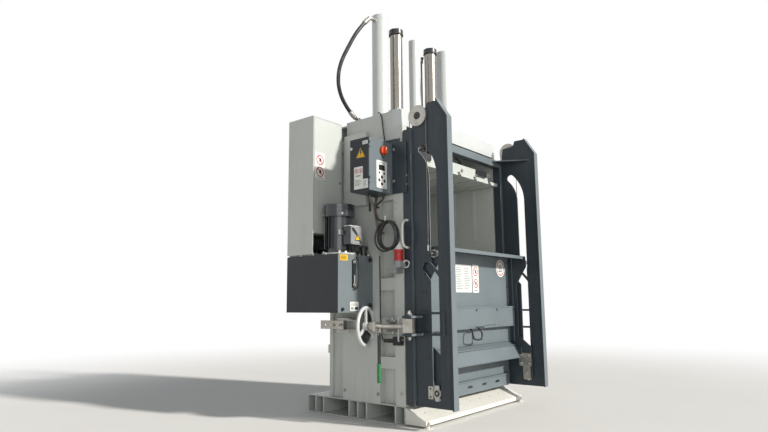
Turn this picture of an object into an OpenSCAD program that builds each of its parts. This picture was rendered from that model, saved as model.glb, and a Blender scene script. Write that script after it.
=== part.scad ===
/* [Overall] */
// width over the body and the base
width = 1310; // [1000:10:1800]
// depth of the base frame
base_depth = 900; // [700:10:1300]
// height of the base frame
base_height = 120; // [80:5:180]
// top of the press cylinders
total_height = 2985; // [2600:5:3400]

/* [Chamber] */
// inner width of the chamber
chamber_width = 1200; // [900:10:1600]
// inner face of the rear wall
chamber_rear = 262; // [150:1:500]
// thickness of wall plates
plate = 6; // [3:0.5:12]
// top of the frame and of the head
head_top = 2110; // [1900:5:2400]
// height of the white header
header_height = 115; // [60:5:200]

/* [Press] */
// outside diameter of a press cylinder
cylinder_d = 125; // [90:1:180]
// distance of a cylinder from the middle
cylinder_x = 440; // [350:5:520]
// diameter of a guide rod
guide_d = 100; // [60:1:120]
// distance of a guide rod from the middle
guide_x = 238; // [180:2:300]
// diameter of the middle tube
middle_d = 85; // [60:1:110]
// line of the tubes from front to back
tube_y = -90; // [-200:5:100]
// diameter of a piston rod
piston_rod_d = 60; // [40:1:80]
// lower face of the platen when it is up
platen_z = 1735; // [1500:5:1850]

/* [Bale door] */
// depth of the thin side plates in front of the posts
web_depth = 298; // [200:2:400]
// width of the roller slots
slot_width = 60; // [54:1:80]
// line of the slots from front to back
slot_y = -690; // [-720:2:-650]
// width of a door post
post_width = 60; // [50:1:90]
// reach of the hinge line beyond the side face
hinge_reach = 35; // [26:1:80]
// diameter of the hinge pins
hinge_pin_d = 24; // [16:1:40]

/* [Loading flap] */
// gap between the flap panel and the side of the bay
flap_gap = 10; // [8:1:60]
// upper edge of the open flap
flap_top = 1140; // [1000:5:1250]
// outside diameter of a flap roller
roller_d = 52; // [40:1:56]
// outside diameter of a rope pulley
pulley_d = 145; // [100:1:180]
// diameter of the wire rope
rope_d = 6; // [4:0.5:10]

/* [Lock] */
// diameter of the hand wheel
wheel_d = 262; // [180:2:320]
// diameter of the lock spindle
spindle_d = 30; // [20:1:40]
// angle of the spindle away from the side wall
spindle_angle = 15.3; // [12:0.1:20]

/* [Hydraulics] */
// outer face of the tank and of the cabinet
unit_x = -1000; // [-1100:5:-900]
// upper face of the oil tank
tank_top = 1100; // [1000:5:1200]
// height of the oil tank
tank_height = 380; // [300:5:500]
// diameter of the motor cowl
cowl_d = 216; // [160:1:220]
// diameter of the hydraulic hose
hose_d = 30; // [20:1:40]

/* [Control] */
// outer face of the control box
box_x = -909; // [-1000:1:-850]
// front face of the control box
box_front = -378; // [-400:1:-340]
// rear face of the control box
box_rear = -213; // [-260:1:-180]
// lower face of the control box
box_low = 1512; // [1450:1:1560]
// upper face of the control box
box_high = 1868; // [1800:1:1950]
// diameter of the supply cable
cable_d = 12.5; // [8:0.5:20]

/* [Clearances] */
// radial running clearance of pins and shafts
run_gap = 0.05; // [0.01:0.01:0.1]
// gap between parts that pass each other
pass_gap = 1; // [0.5:0.1:3]

/* [Hidden] */
half = width / 2;
bay = chamber_width / 2;
back_y = chamber_rear + plate;
front_y = -455;
base_y = base_depth / 2;
post_in = half - post_width;
post_back = -465;
post_front = post_back - post_width;
web_out = half - 19;
web_t = 8;
web_front = post_front - web_depth;
hinge_x = half + hinge_reach;
flap_half = bay - flap_gap;
pulley_y = -582;
pulley_z = 2031;
rope_r = pulley_d / 2 - 4.5;
rope_x = web_out + 8.5;
upper_roller_z = 1091;
lower_roller_z = 221;
lock_x = -740;
lock_y = -560;
lock_z = 630;
tank_low = tank_top - tank_height;
motor_x = -860;
motor_y = -60;
steel_r = run_gap;
hose_route = [[-514, -90, 2938], [-560, -82, 2940], [-625, -60, 2880], [-700, -20, 2700],
  [-755, 20, 2567], [-776, 40, 2470], [-752, 60, 2375], [-675, 80, 2290], [-560, 85, 2215],
  [-500, 85, 2180]];
rear_hose_route = [[440, -10, 2928], [440, 20, 2916], [440, 70, 2820], [440, 85, 2600],
  [430, 85, 2350], [420, 85, 2180]];
cable_route = [[-736, -285, 1512], [-732, -275, 1440], [-730, -250, 1399], [-732, -255, 1350],
  [-740, -290, 1318], [-742, -332, 1308]];
tail_route = [[-742, -444, 1276], [-734, -452, 1256], [-712, -454, 1232], [-700, -450, 1208],
  [-700, -450, 1184]];

light = [0.80, 0.82, 0.81];
dark = [0.24, 0.28, 0.31];
steel = [0.66, 0.66, 0.64];
black = [0.07, 0.07, 0.08];
white = [0.92, 0.92, 0.90];

module slab(x0, x1, y0, y1, z0, z1)
  translate([min(x0, x1), min(y0, y1), min(z0, z1)])
    cube([abs(x1 - x0), abs(y1 - y0), abs(z1 - z0)]);

module yz(x, t)
  translate([x, 0, 0])
    rotate([90, 0, 90])
      linear_extrude(t)
        children();

module xz(y, t)
  translate([0, y + t, 0])
    rotate([90, 0, 0])
      linear_extrude(t)
        children();

module rod_z(x, y, z0, z1, d)
  translate([x, y, z0])
    cylinder(h = z1 - z0, d = d, $fn = 64);

module rod_x(x0, x1, y, z, d)
  translate([min(x0, x1), y, z])
    rotate([0, 90, 0])
      cylinder(h = abs(x1 - x0), d = d, $fn = 64);

module rod_y(x, y0, y1, z, d)
  translate([x, max(y0, y1), z])
    rotate([90, 0, 0])
      cylinder(h = abs(y1 - y0), d = d, $fn = 64);

module both() {
  children();
  mirror([1, 0, 0])
    children();
}

function corner(cx, cy, r, a0) =
  [for (i = [0:4]) [cx + r * cos(a0 + i * 22.5), cy + r * sin(a0 + i * 22.5)]];

function round_box(w, h, r) =
  concat(corner(w / 2 - r, h / 2 - r, r, 0), corner(r - w / 2, h / 2 - r, r, 90),
    corner(r - w / 2, r - h / 2, r, 180), corner(w / 2 - r, r - h / 2, r, 270));

module square_tube_x(y0, y1, z0, z1, x0, x1, wall, r)
  translate([0, (y0 + y1) / 2, (z0 + z1) / 2])
    yz(x0, x1 - x0)
      difference() {
        polygon(round_box(y1 - y0, z1 - z0, r));
        polygon(round_box(y1 - y0 - 2 * wall, z1 - z0 - 2 * wall, r - wall));
      }

function unit(v) = v / norm(v);
function spline(a, b, c, d, t) =
  0.5 * (2 * b + (c - a) * t + (2 * a - 5 * b + 4 * c - d) * t * t
    + (3 * b - a - 3 * c + d) * t * t * t);
function smooth(p, n) =
  let (m = len(p) - 1)
  concat([for (i = [0:m - 1], k = [0:n - 1])
    spline(p[max(i - 1, 0)], p[i], p[i + 1], p[min(i + 2, m)], k / n)], [p[m]]);
function tangent(p, i) = unit(p[min(i + 1, len(p) - 1)] - p[max(i - 1, 0)]);
function ring(p, i, r, side, s) =
  let (t = tangent(p, i), u = unit(cross(t, side)), v = cross(t, u))
  [for (k = [0:s - 1]) p[i] + r * cos(360 * k / s) * u + r * sin(360 * k / s) * v];

module swept(path, d, side, s = 8) {
  m = len(path);
  polyhedron(
    points = [for (i = [0:m - 1]) each ring(path, i, d / 2, side, s)],
    faces = concat(
      [[for (k = [0:s - 1]) k]],
      [for (i = [0:m - 2], k = [0:s - 1])
        [i * s + k, (i + 1) * s + k, (i + 1) * s + (k + 1) % s, i * s + (k + 1) % s]],
      [[for (k = [0:s - 1]) (m - 1) * s + s - 1 - k]]));
}

module base_frame()
  color(light) {
    square_tube_x(base_y - 80, base_y, 0, base_height, -half, half, 6, 14);
    square_tube_x(base_y - 160, base_y - 80, 0, base_height, -half, half, 6, 14);
    square_tube_x(40, base_y - 160, 0, base_height, -half, half, 6, 14);
    square_tube_x(-40, 40, 0, base_height, -half, half, 6, 14);
    square_tube_x(-120, -40, 0, base_height, -half, half, 6, 14);
    square_tube_x(-370, -120, 0, base_height, -half, half, 6, 14);
    square_tube_x(-base_y, -370, 0, base_height, -half, half, 6, 14);
  }

module front_sill()
  color(light) {
    difference() {
      yz(4 - half, width - 8)
        polygon([[-base_y, 114], [-610, 44], [-610, 16], [-602, 16], [-602, 38], [-base_y, 104]]);
      for (i = [-4:4])
        translate([i * 140, -530, 50])
          cylinder(h = 60, d = 14, $fn = 32);
    }
    for (x = [4 - half, -4, half - 12])
      yz(x, 8)
        polygon([[-base_y, 106], [-602, 40], [-602, 12], [-base_y, 12]]);
    both() {
      rod_z(28 - half, -606, 4, 20, 26);
      rod_z(28 - half, -606, 0, 4, 60);
    }
  }

module chamber_walls()
  color(light) {
    both()
      slab(bay, bay + plate, front_y, back_y, base_height, head_top - header_height);
    slab(-bay, bay, chamber_rear, back_y, base_height, head_top - header_height);
    slab(-bay, bay, -450, chamber_rear, base_height, base_height + plate);
    for (x = [-420, -140, 140, 420])
      slab(x - 20, x + 20, back_y, back_y + 42, base_height, head_top - header_height);
    for (z = [420, 960, 1500])
      slab(-bay, bay, back_y, back_y + 30, z, z + 60);
    for (x = [-400, 0, 400])
      slab(x - 8, x + 8, chamber_rear - 10, chamber_rear, 1135, 1700);
  }

module side_frame() {
  difference() {
    slab(-half, -bay - plate, front_y, -375, base_height, head_top - header_height);
    rod_x(-half - 1, 20 - half, -395, 1451, 11);
    rod_x(-half - 1, 20 - half, -395, 1409, 11);
  }
  slab(-half + 2, -bay - plate, -375, -243, 866, 946);
  slab(-half + 2, -bay - plate, -375, -243, 351, 424);
  slab(-half, -bay - plate, -243, 98, base_height, 1480);
  slab(-half, -bay - plate, -375, 60, 1480, head_top);
  slab(-620, -bay - plate, 98, 130, base_height, head_top - header_height);
  slab(-620, -bay - plate, 230, 262, base_height, head_top - header_height);
}

module left_side_frame()
  color(light) {
    side_frame();
    slab(-half, -bay - plate, -375, -243, 581, 680);
  }

module right_side_frame()
  color(light) {
    mirror([1, 0, 0])
      side_frame();
    slab(bay + plate, half, -375, -243, 581, 680);
  }

module head_frame()
  color(light)
    difference() {
      union() {
        slab(-bay - plate, bay + plate, -443, -375, head_top - 95, head_top - 10);
        slab(-bay - plate, bay + plate, 180, back_y, head_top - 115, head_top - 10);
        slab(-bay, bay, -175, -163, head_top - 160, head_top - 12);
        slab(-bay, bay, -17, -5, head_top - 160, head_top - 12);
        slab(-bay - plate, bay + plate, -375, 180, head_top - 12, head_top);
        for (x = [-560, -340, 328, 548])
          slab(x, x + 12, -163, -17, head_top - 150, head_top - 12);
      }
      both() {
        rod_z(guide_x, tube_y, head_top - 40, head_top + 1, guide_d + 6);
        rod_z(cylinder_x, tube_y, head_top - 40, head_top + 1, piston_rod_d + 6);
      }
    }

module header_front()
  color(white) {
    slab(-half, half, front_y, front_y + 12, head_top - header_height, head_top);
    slab(-half, half, front_y + 12, -375, head_top - 10, head_top);
    both()
      slab(half - 12, half, front_y + 12, -375, head_top - header_height, head_top - 10);
  }

module rod_housings()
  color(white)
    both()
      difference() {
        slab(guide_x - 70, guide_x + 70, tube_y - 60, tube_y + 60, head_top, head_top + 160);
        rod_z(guide_x, tube_y, head_top - 1, head_top + 40, guide_d + 8);
        rod_z(guide_x, tube_y, head_top + 39, head_top + 161, guide_d + 2 * steel_r);
      }

module press_cylinders()
  color(white)
    both()
      difference() {
        union() {
          rod_z(cylinder_x, tube_y, head_top, total_height, cylinder_d);
          rod_z(cylinder_x, tube_y, head_top, head_top + 22, cylinder_d + 30);
        }
        rod_z(cylinder_x, tube_y, head_top - 1, head_top + 41, piston_rod_d + 2 * steel_r);
        rod_z(cylinder_x, tube_y, head_top + 40, total_height - 25, cylinder_d - 25);
      }

module middle_tube()
  color(white) {
    rod_z(0, tube_y, head_top + 14, total_height - 45, middle_d);
    rod_z(0, tube_y, head_top, head_top + 14, middle_d + 45);
  }

module hydraulic_hose()
  color(black) {
    swept(smooth(hose_route, 6), hose_d, [0, 1, 0]);
    swept(smooth(rear_hose_route, 6), hose_d, [1, 0, 0]);
  }

module hose_fittings()
  color(steel) {
    rod_x(-cylinder_x - cylinder_d / 2 + 4, -515, tube_y, 2938, 34);
    rod_z(cylinder_x, tube_y + cylinder_d / 2 + 12, 2912, 2948, 34);
    rod_y(cylinder_x, tube_y + cylinder_d / 2 - 4, tube_y + cylinder_d / 2 + 12, 2930, 24);
    for (x = [-500, 420]) {
      rod_z(x, 85, head_top, 2190, 36);
      slab(x - 32, x + 32, 53, 117, head_top, head_top + 30);
    }
  }

module oil_tank()
  color(dark) {
    slab(unit_x, -665, -184, 310, tank_low, tank_top);
    slab(-665, -half, -184, 98, tank_low + 10, tank_top - 10);
    slab(-665, -bay - plate, 150, 162, tank_low + 20, tank_top - 20);
    slab(-665, -620, 236, 248, tank_low + 20, tank_top - 20);
  }

module tank_fittings()
  color(black) {
    slab(-866, -842, -196, -184, 884, 1066);
    for (z = [tank_low + 44, tank_top - 26])
      rod_y(-690, -190, -184, z, 20);
    rod_z(-706, -144, tank_top, tank_top + 36, 46);
    rod_z(-706, -144, tank_top + 36, tank_top + 50, 60);
    rod_y(-960, -194, -184, tank_low + 22, 22);
  }

module pump_motor()
  color(black)
    difference() {
      union() {
        rod_z(motor_x, motor_y, tank_top, tank_top + 14, 228);
        rod_z(motor_x, motor_y, tank_top + 14, tank_top + 40, 180);
        rod_z(motor_x, motor_y, tank_top + 40, tank_top + 268, 172);
        for (i = [-2:14])
          translate([motor_x, motor_y, tank_top + 46])
            rotate([0, 0, i * 15])
              translate([84, -2, 0])
                cube([17, 4, 216]);
        rod_z(motor_x, motor_y, tank_top + 262, tank_top + 345, cowl_d);
        slab(-900, -818, -150, -110, 1180, 1272);
      }
      rod_z(motor_x, motor_y, tank_top + 274, tank_top + 337, cowl_d - 8);
      rod_z(motor_x, motor_y, tank_top + 200, tank_top + 280, 28 + 2 * steel_r);
      for (i = [0:11])
        rotate_at(motor_x, motor_y, i * 30)
          slab(34, 88, -6, 6, tank_top + 330, tank_top + 350);
    }

module rotate_at(x, y, a)
  translate([x, y, 0])
    rotate([0, 0, a])
      children();

module motor_terminal_box()
  color(dark) {
    slab(-913, -803, -206, -150, 1168, 1284);
    slab(-916, -800, -214, -206, 1165, 1287);
  }

module motor_fan()
  color(black) {
    rod_z(motor_x, motor_y, tank_top + 206, tank_top + 320, 28);
    rod_z(motor_x, motor_y, tank_top + 286, tank_top + 320, 60);
    for (i = [0:6])
      rotate_at(motor_x, motor_y, i * 360 / 7)
        slab(24, 94, -2, 2, tank_top + 290, tank_top + 318);
  }

module valve_cabinet()
  color(light) {
    difference() {
      slab(unit_x, -716, 55, 310, tank_top + 11, 2085);
      slab(unit_x + 4, -720, 40, 306, tank_top + 15, 1255);
    }
    slab(unit_x + 20, -760, 70, 290, tank_top, tank_top + 11);
    for (z = [1320, 1900])
      slab(-716, -bay - plate, 140, 230, z, z + 12);
  }

module control_box()
  color(dark)
    difference() {
      union() {
        slab(box_x, -665, box_front, box_rear, box_low, box_high);
        for (z = [box_low + 48, box_high - 68])
          slab(box_x - 6, box_x + 8, box_front - 7, box_front, z, z + 20);
        for (z = [box_low + 48, box_high - 68])
          rod_z(box_x - 6, box_front - 6, z, z + 40, 5);
        for (z = [box_low + 48, box_high - 68])
          rod_z(box_x - 6, box_front - 6, z, z + 20, 11);
      }
      slab(box_x - 1, -672, box_front + 3, box_rear - 3, box_low + 3, box_high - 3);
      rod_y(-770, box_front - 1, box_front + 10, 1799, 10 + 2 * steel_r);
    }

module control_box_door()
  color(dark)
    difference() {
      union() {
        slab(box_x - 6, box_x - pass_gap, box_front, box_rear, box_low, box_high);
        for (z = [box_low + 69, box_high - 47])
          difference() {
            union() {
              rod_z(box_x - 6, box_front - 6, z, z + 19, 11);
              slab(box_x - 10, box_x - 2, box_front - 5, box_front + 3, z, z + 19);
            }
            rod_z(box_x - 6, box_front - 6, z - 1, z + 20, 5 + 2 * steel_r);
          }
      }
      rod_x(box_x - 7, box_x, box_rear - 16, 1805, 10 + 2 * steel_r);
    }

module door_lock()
  color(steel) {
    rod_x(box_x - 12, box_x - 6.4, box_rear - 16, 1805, 22);
    rod_x(box_x - 7, box_x + 6, box_rear - 16, 1805, 10);
    slab(box_x + 1, box_x + 4, box_rear - 36, box_rear - 12, 1801, 1809);
  }

module main_switch()
  color([0.85, 0.25, 0.08]) {
    rod_y(-770, box_front - 14, box_front - 0.6, 1799, 46);
    slab(-778, -762, box_front - 34, box_front - 13, 1778, 1820);
    rod_y(-770, box_front - 8, box_front + 8, 1799, 10);
  }

module control_bracket()
  color(dark) {
    slab(-665, -half, -440, -200, 1555, 1900);
    slab(-665, -half, -176, -160, 1420, 1560);
    slab(-665, -half, -200, -160, 1555, 1575);
    for (z = [1600, 1820])
      rod_x(-671, -665, -398, z, 16);
  }

module supply_cable()
  color(black) {
    swept(smooth(cable_route, 6), cable_d, [1, 0, 0]);
    swept(smooth(tail_route, 6), cable_d, [0, 1, 0]);
  }

module cable_coil()
  color(black)
    translate([-742, -382, 1216])
      rotate([0, 90, 0])
        rotate_extrude($fn = 96)
          translate([86, 0])
            circle(d = 34, $fn = 24);

module cable_hook()
  color(steel)
    {
    rod_x(-772, -half, -392, 1324, 10);
    rod_z(-768, -392, 1320, 1352, 10);
  }

module cable_plug()
  color([0.75, 0.1, 0.1]) {
    rod_z(-700, -450, 1128, 1192, 44);
    rod_z(-700, -450, 1052, 1128, 62);
  }

module plug_socket()
  color([0.5, 0.52, 0.52]) {
    rod_z(-700, -450, 1008, 1052, 66);
    slab(-728, -half, -450, -380, 972, 1030);
  }

module safety_switch()
  color(black) {
    slab(-686, -half, -446, -380, 505, 560);
    slab(-680, -half, -380, -300, 520, 545);
  }

module lock_ears()
  color(steel)
    difference() {
      union() {
        slab(-690, -half, -400, -330, 590, 606);
        slab(-690, -half, -400, -330, 654, 670);
        slab(-662, -half, -400, -330, 606, 654);
      }
      rod_z(-672, -365, 580, 680, 14);
    }

module lock_rear_bracket()
  color(steel) {
    slab(-700, -half, -100, 100, 592, 600);
    slab(-700, -half, -100, 100, 660, 668);
    difference() {
      slab(-712, -706, 40, 266, 600, 660);
      for (y = [78, 126, 174, 222])
        rod_x(-713, -705, y, 630, 16);
    }
    slab(-706, -half, 60, 98, 604, 656);
  }

module hinge_pins()
  color(light)
    for (z = [260, 960, 1700]) {
      rod_z(hinge_x, -460, z, z + 60, 50);
      rod_z(hinge_x, -460, z + 60, z + 118, hinge_pin_d);
      slab(half, hinge_x, -455, -440, z, z + 60);
    }

module guide_rods()
  color(steel)
    both()
      rod_z(guide_x, tube_y, platen_z + 145, total_height - 85, guide_d);

module rod_caps()
  color(black)
    both()
      difference() {
        rod_z(guide_x, tube_y, total_height - 85, total_height - 40, guide_d + 14);
        rod_z(guide_x, tube_y, total_height - 55, total_height - 35, guide_d - 30);
      }

module piston_rods()
  color(steel)
    both() {
      rod_z(cylinder_x, tube_y, platen_z + 145, total_height - 165, piston_rod_d);
      rod_z(cylinder_x, tube_y, total_height - 205, total_height - 165, cylinder_d - 26);
    }

module platen()
  color(light) {
    difference() {
      slab(10 - bay, bay - 10, -503, 250, platen_z, platen_z + 25);
      for (i = [-2:2])
        slab(i * 230 - 22, i * 230 + 22, -510, 260, platen_z - 1, platen_z + 14);
    }
    for (x = [-580, -446, -244, -6, 232, 434, 568])
      slab(x, x + 12, -440, 220, platen_z + 25, platen_z + 120);
    slab(-580, 580, -452, -440, platen_z + 25, platen_z + 110);
    slab(-580, 580, 220, 232, platen_z + 25, platen_z + 110);
    slab(-580, 580, tube_y - 80, tube_y + 80, platen_z + 120, platen_z + 145);
  }

function slot_arc(r, a) = [slot_y + 275 - r * cos(a), 1600 + r * sin(a)];

module upper_slot()
  polygon(concat(
    [for (a = [180:22.5:360])
      [slot_y + slot_width / 2 * cos(a), 1060 + slot_width / 2 * sin(a)]],
    [for (a = [0:5.75:46]) slot_arc(275 - slot_width / 2, a)],
    [for (a = [-23.5:22.5:120])
      [slot_y + 275 - 275 * cos(46) + slot_width / 2 * cos(a),
       1600 + 275 * sin(46) + slot_width / 2 * sin(a)]],
    [for (a = [46:-5.75:0]) slot_arc(275 + slot_width / 2, a)]));

module lower_slot()
  polygon(concat(
    [for (a = [180:22.5:360])
      [slot_y + slot_width / 2 * cos(a), 200 + slot_width / 2 * sin(a)]],
    [[slot_y + slot_width / 2, 919], [-590, 1002], [-605, 1034], [-636, 1040],
     [slot_y - slot_width / 2, 941]]));

module web_plate(x)
  yz(x, web_t)
    difference() {
      polygon([[post_front, 130], [web_front, 130], [web_front, 1975], [-738, head_top],
        [-655, head_top], [-640, 2070], [-545, 2060], [post_front, 1950]]);
      upper_slot();
      lower_slot();
      polygon([[-650, 1046], [-716, 1046], [-716, 975]]);
      polygon([[-604, 956], [-604, 970], [-618, 970], [-618, 956]]);
      polygon([[-609, 840], [-609, 854], [-623, 854], [-623, 840]]);
      polygon([[-623, 428], [-623, 442], [-637, 442], [-637, 428]]);
    }

module door_post() {
  difference() {
    slab(-half, -post_in, post_front, post_back, 130, 1950);
    slab(4 - half, -post_in - 4, post_front + 4, post_back - 4, 129, 1951);
  }
  yz(-half - 14, 55)
    polygon([[web_front - 10, 130], [web_front, 130], [web_front, 1975], [-738, head_top],
      [-746, head_top + 5], [web_front - 10, 1978]]);
  rod_x(-web_out - 18, -web_out, pulley_y, pulley_z, 20);
  rod_x(-web_out - 22, -web_out - 17, pulley_y, pulley_z, 32);
  for (z = [573, 706])
    slab(-web_out - 13, -web_out - 6.5, -760, -540, z, z + 15);
  slab(-web_out - 13, -web_out - 6.5, -760, -745, 580, 715);
  slab(-web_out - 7, -web_out, -760, -745, 573, 721);
  for (z = [573, 706])
    slab(-web_out - 7, -web_out, -560, -540, z, z + 15);
}

module left_door_post()
  color(dark)
    door_post();

module right_door_post()
  color(dark) {
    mirror([1, 0, 0])
      door_post();
    for (z = [260, 960, 1700])
      difference() {
        union() {
          rod_z(hinge_x, -460, z + 60.6, z + 118, 50);
          slab(half, hinge_x, -485, -466, z + 60.6, z + 118);
        }
        rod_z(hinge_x, -460, z + 60, z + 119, hinge_pin_d + 2 * steel_r);
      }
  }

module left_web_plate()
  color(dark)
    web_plate(-web_out);

module right_web_plate()
  color(dark)
    mirror([1, 0, 0])
      web_plate(-web_out);

module door_panel()
  color(dark) {
    slab(-post_in, post_in, -524, -518, 130, 1125);
    slab(-post_in, post_in, -518, -468, 1060, 1125);
    slab(-post_in, post_in, -518, -468, 130, 200);
    for (x = [-400, -200, 0, 200, 400])
      slab(x - 4, x + 4, -518, -490, 200, 1060);
    slab(-post_in, post_in, -540, -524, 130, 222);
  }

module door_lintel()
  color(dark)
    difference() {
      slab(-post_in, post_in, post_front, post_back, 1893, 1949);
      slab(-post_in - 1, post_in + 1, post_front + 4, post_back - 4, 1897, 1945);
    }

module door_gussets()
  color(dark)
    both()
      translate([0, 0, 1926])
        linear_extrude(8)
          polygon([[-web_out + web_t, post_front], [-web_out + web_t, -780], [-470, post_front]]);

module door_handle()
  color(dark) {
    rod_x(-716, -half, -495, 1323, 16);
    rod_x(-716, -half, -495, 1142, 16);
    rod_z(-708, -495, 1134, 1331, 16);
  }

module lock_fork()
  color(dark) {
    for (z = [573, 684])
      slab(-772, -web_out - 13.3, -600, post_front - 1, z, z + 15);
    slab(-662, -half, post_front, post_back, 560, 712);
    for (z = [573, 684])
      slab(-662, -half, post_front - 2, post_front + 1, z, z + 15);
    rod_z(lock_x, lock_y, 566, 706, 24);
    rod_z(lock_x, lock_y, 699, 708, 40);
    for (z = [548, 684])
      rod_x(-674, -half, -500, z, 9);
    rod_z(-670, -500, 544, 688, 9);
  }

module pulley(x)
  translate([x, pulley_y, pulley_z])
    rotate([0, 90, 0])
      difference() {
        union() {
          translate([0, 0, -7])
            cylinder(h = 4, d = pulley_d, $fn = 96);
          translate([0, 0, -4])
            cylinder(h = 8, d = 2 * rope_r - rope_d - 1, $fn = 96);
          translate([0, 0, 3])
            cylinder(h = 4, d = pulley_d, $fn = 96);
        }
        translate([0, 0, -8])
          cylinder(h = 16, d = 20 + 2 * steel_r, $fn = 48);
      }

module left_pulley()
  color(steel)
    pulley(-rope_x);

module right_pulley()
  color(steel)
    pulley(rope_x);

module counterweights()
  color(black)
    both()
      slab(-648, -602, -518, -472, 700, 1880);

module flap_ropes()
  color(steel)
    both()
      rod_z(-rope_x, pulley_y - rope_r, upper_roller_z + 22, pulley_z, rope_d);

module rear_ropes()
  color(steel)
    both()
      rod_z(-rope_x, pulley_y + rope_r, 1880, pulley_z, rope_d);

module flap_panel()
  color(dark) {
    slab(-flap_half, flap_half, -568, -563, 471, flap_top - 12);
    slab(-flap_half, flap_half, -700, -563, flap_top - 12, flap_top);
    slab(-flap_half, flap_half, -706, -700, 1116, flap_top + 2);
    difference() {
      slab(-flap_half, flap_half, -612, -568, 590, 746);
      slab(110, 270, -613, -606, 605, 611);
    }
    yz(-flap_half, 2 * flap_half)
      polygon([[-568, 471], [-602, 440], [-602, 434], [-596, 434], [-563, 466], [-563, 471]]);
    yz(-flap_half, 2 * flap_half)
      polygon([[-602, 440], [-610, 435], [-655, 345], [-640, 345], [-590, 420], [-590, 440]]);
    slab(-flap_half, flap_half, -655, -600, 345, 351);
  }

module flap_arms()
  color(dark)
    both() {
      yz(-612, 8)
        polygon([[-563, flap_top], [-715, flap_top], [-722, 1060], [-632, 915], [-632, 515],
          [-735, 430], [-735, 190], [-660, 190], [-645, 345], [-563, 420]]);
      slab(-bay - 4, -flap_half, -600, -563, 471, flap_top - 12);
      slab(-bay - 4, -flap_half, -655, -600, 345, 420);
      rod_x(-612, -650, slot_y, upper_roller_z, 24);
      rod_x(-641, -650, slot_y, upper_roller_z, 40);
      rod_x(-612, -641.4, slot_y, lower_roller_z, 24);
      slab(-650, -641, slot_y, pulley_y - rope_r + 5, upper_roller_z - 12, upper_roller_z + 12);
      slab(-650, -641, pulley_y - rope_r - 8, pulley_y - rope_r + 8,
        upper_roller_z - 12, upper_roller_z + 22);
    }

module flap_handle()
  color(black) {
    slab(-67, 55, -640, -612, 598, 606);
    rod_z(-100, -620, 520, 592, 12);
    rod_z(20, -620, 520, 592, 12);
    rod_x(-106, 26, -620, 526, 12);
    slab(-108, 28, -626, -612, 588, 598);
  }

module flap_roller(x, z)
  translate([x, slot_y, z])
    rotate([0, 90, 0])
      difference() {
        cylinder(h = 18, d = roller_d, $fn = 64);
        translate([0, 0, -1])
          cylinder(h = 20, d = 24 + 2 * steel_r, $fn = 64);
      }

module upper_rollers()
  color(steel) {
    flap_roller(-641 + 0.4, upper_roller_z);
    flap_roller(641 - 18.4, upper_roller_z);
  }

module lower_rollers()
  color(steel) {
    flap_roller(-641 + 0.4, lower_roller_z);
    flap_roller(641 - 18.4, lower_roller_z);
  }

module spindle_frame()
  translate([lock_x, lock_y, lock_z])
    rotate([0, 0, spindle_angle])
      children();

module lock_spindle()
  color(steel)
    difference() {
      spindle_frame() {
        slab(-30, 30, -30, 34, -38, 50);
        rod_y(0, 34, 330, 0, spindle_d);
        slab(-50, 62, 216, 236, -30, 30);
        slab(-8, 8, 196, 212, -56, -10);
        rod_x(-24, 8, 204, -50, 8);
      }
      rod_z(lock_x, lock_y, 560, 720, 24 + 2 * steel_r);
    }

module lock_collar()
  color(steel)
    spindle_frame()
      difference() {
        rod_y(0, 245, 268, 0, 64);
        rod_y(0, 240, 270, 0, spindle_d + 2 * steel_r);
      }

module hand_wheel()
  color(white)
    spindle_frame()
      difference() {
        union() {
          translate([0, 306, 0])
            rotate([90, 0, 0])
              rotate_extrude($fn = 96)
                translate([wheel_d / 2 - 11, 0])
                  circle(d = 22, $fn = 24);
          rod_y(0, 290, 322, 0, 52);
          for (a = [30, 150, 270])
            translate([0, 306, 0])
              rotate([0, a, 0])
                translate([22, -6, -9])
                  cube([wheel_d / 2 - 34, 12, 18]);
        }
        rod_y(0, 280, 332, 0, spindle_d + 2 * steel_r);
      }

module lock_lever()
  color([0.12, 0.12, 0.13])
    spindle_frame() {
      difference() {
        slab(-22, -16, 194, 214, -340, -40);
        rod_x(-23, -15, 204, -50, 8 + 2 * steel_r);
      }
      rod_z(-19, 204, -350, -230, 26);
    }

base_frame();
front_sill();
chamber_walls();
left_side_frame();
right_side_frame();
head_frame();
header_front();
rod_housings();
press_cylinders();
middle_tube();
hydraulic_hose();
hose_fittings();
oil_tank();
tank_fittings();
pump_motor();
motor_terminal_box();
motor_fan();
valve_cabinet();
control_box();
control_box_door();
door_lock();
main_switch();
control_bracket();
supply_cable();
cable_coil();
cable_hook();
cable_plug();
plug_socket();
safety_switch();
lock_ears();
lock_rear_bracket();
hinge_pins();
guide_rods();
rod_caps();
piston_rods();
platen();
left_door_post();
right_door_post();
left_web_plate();
right_web_plate();
door_panel();
door_lintel();
door_gussets();
door_handle();
lock_fork();
left_pulley();
right_pulley();
counterweights();
flap_ropes();
rear_ropes();
flap_panel();
flap_arms();
flap_handle();
upper_rollers();
lower_rollers();
lock_spindle();
lock_collar();
hand_wheel();
lock_lever();
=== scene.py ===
import math
import random

import bmesh
import bpy
from mathutils import Matrix, Vector


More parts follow.
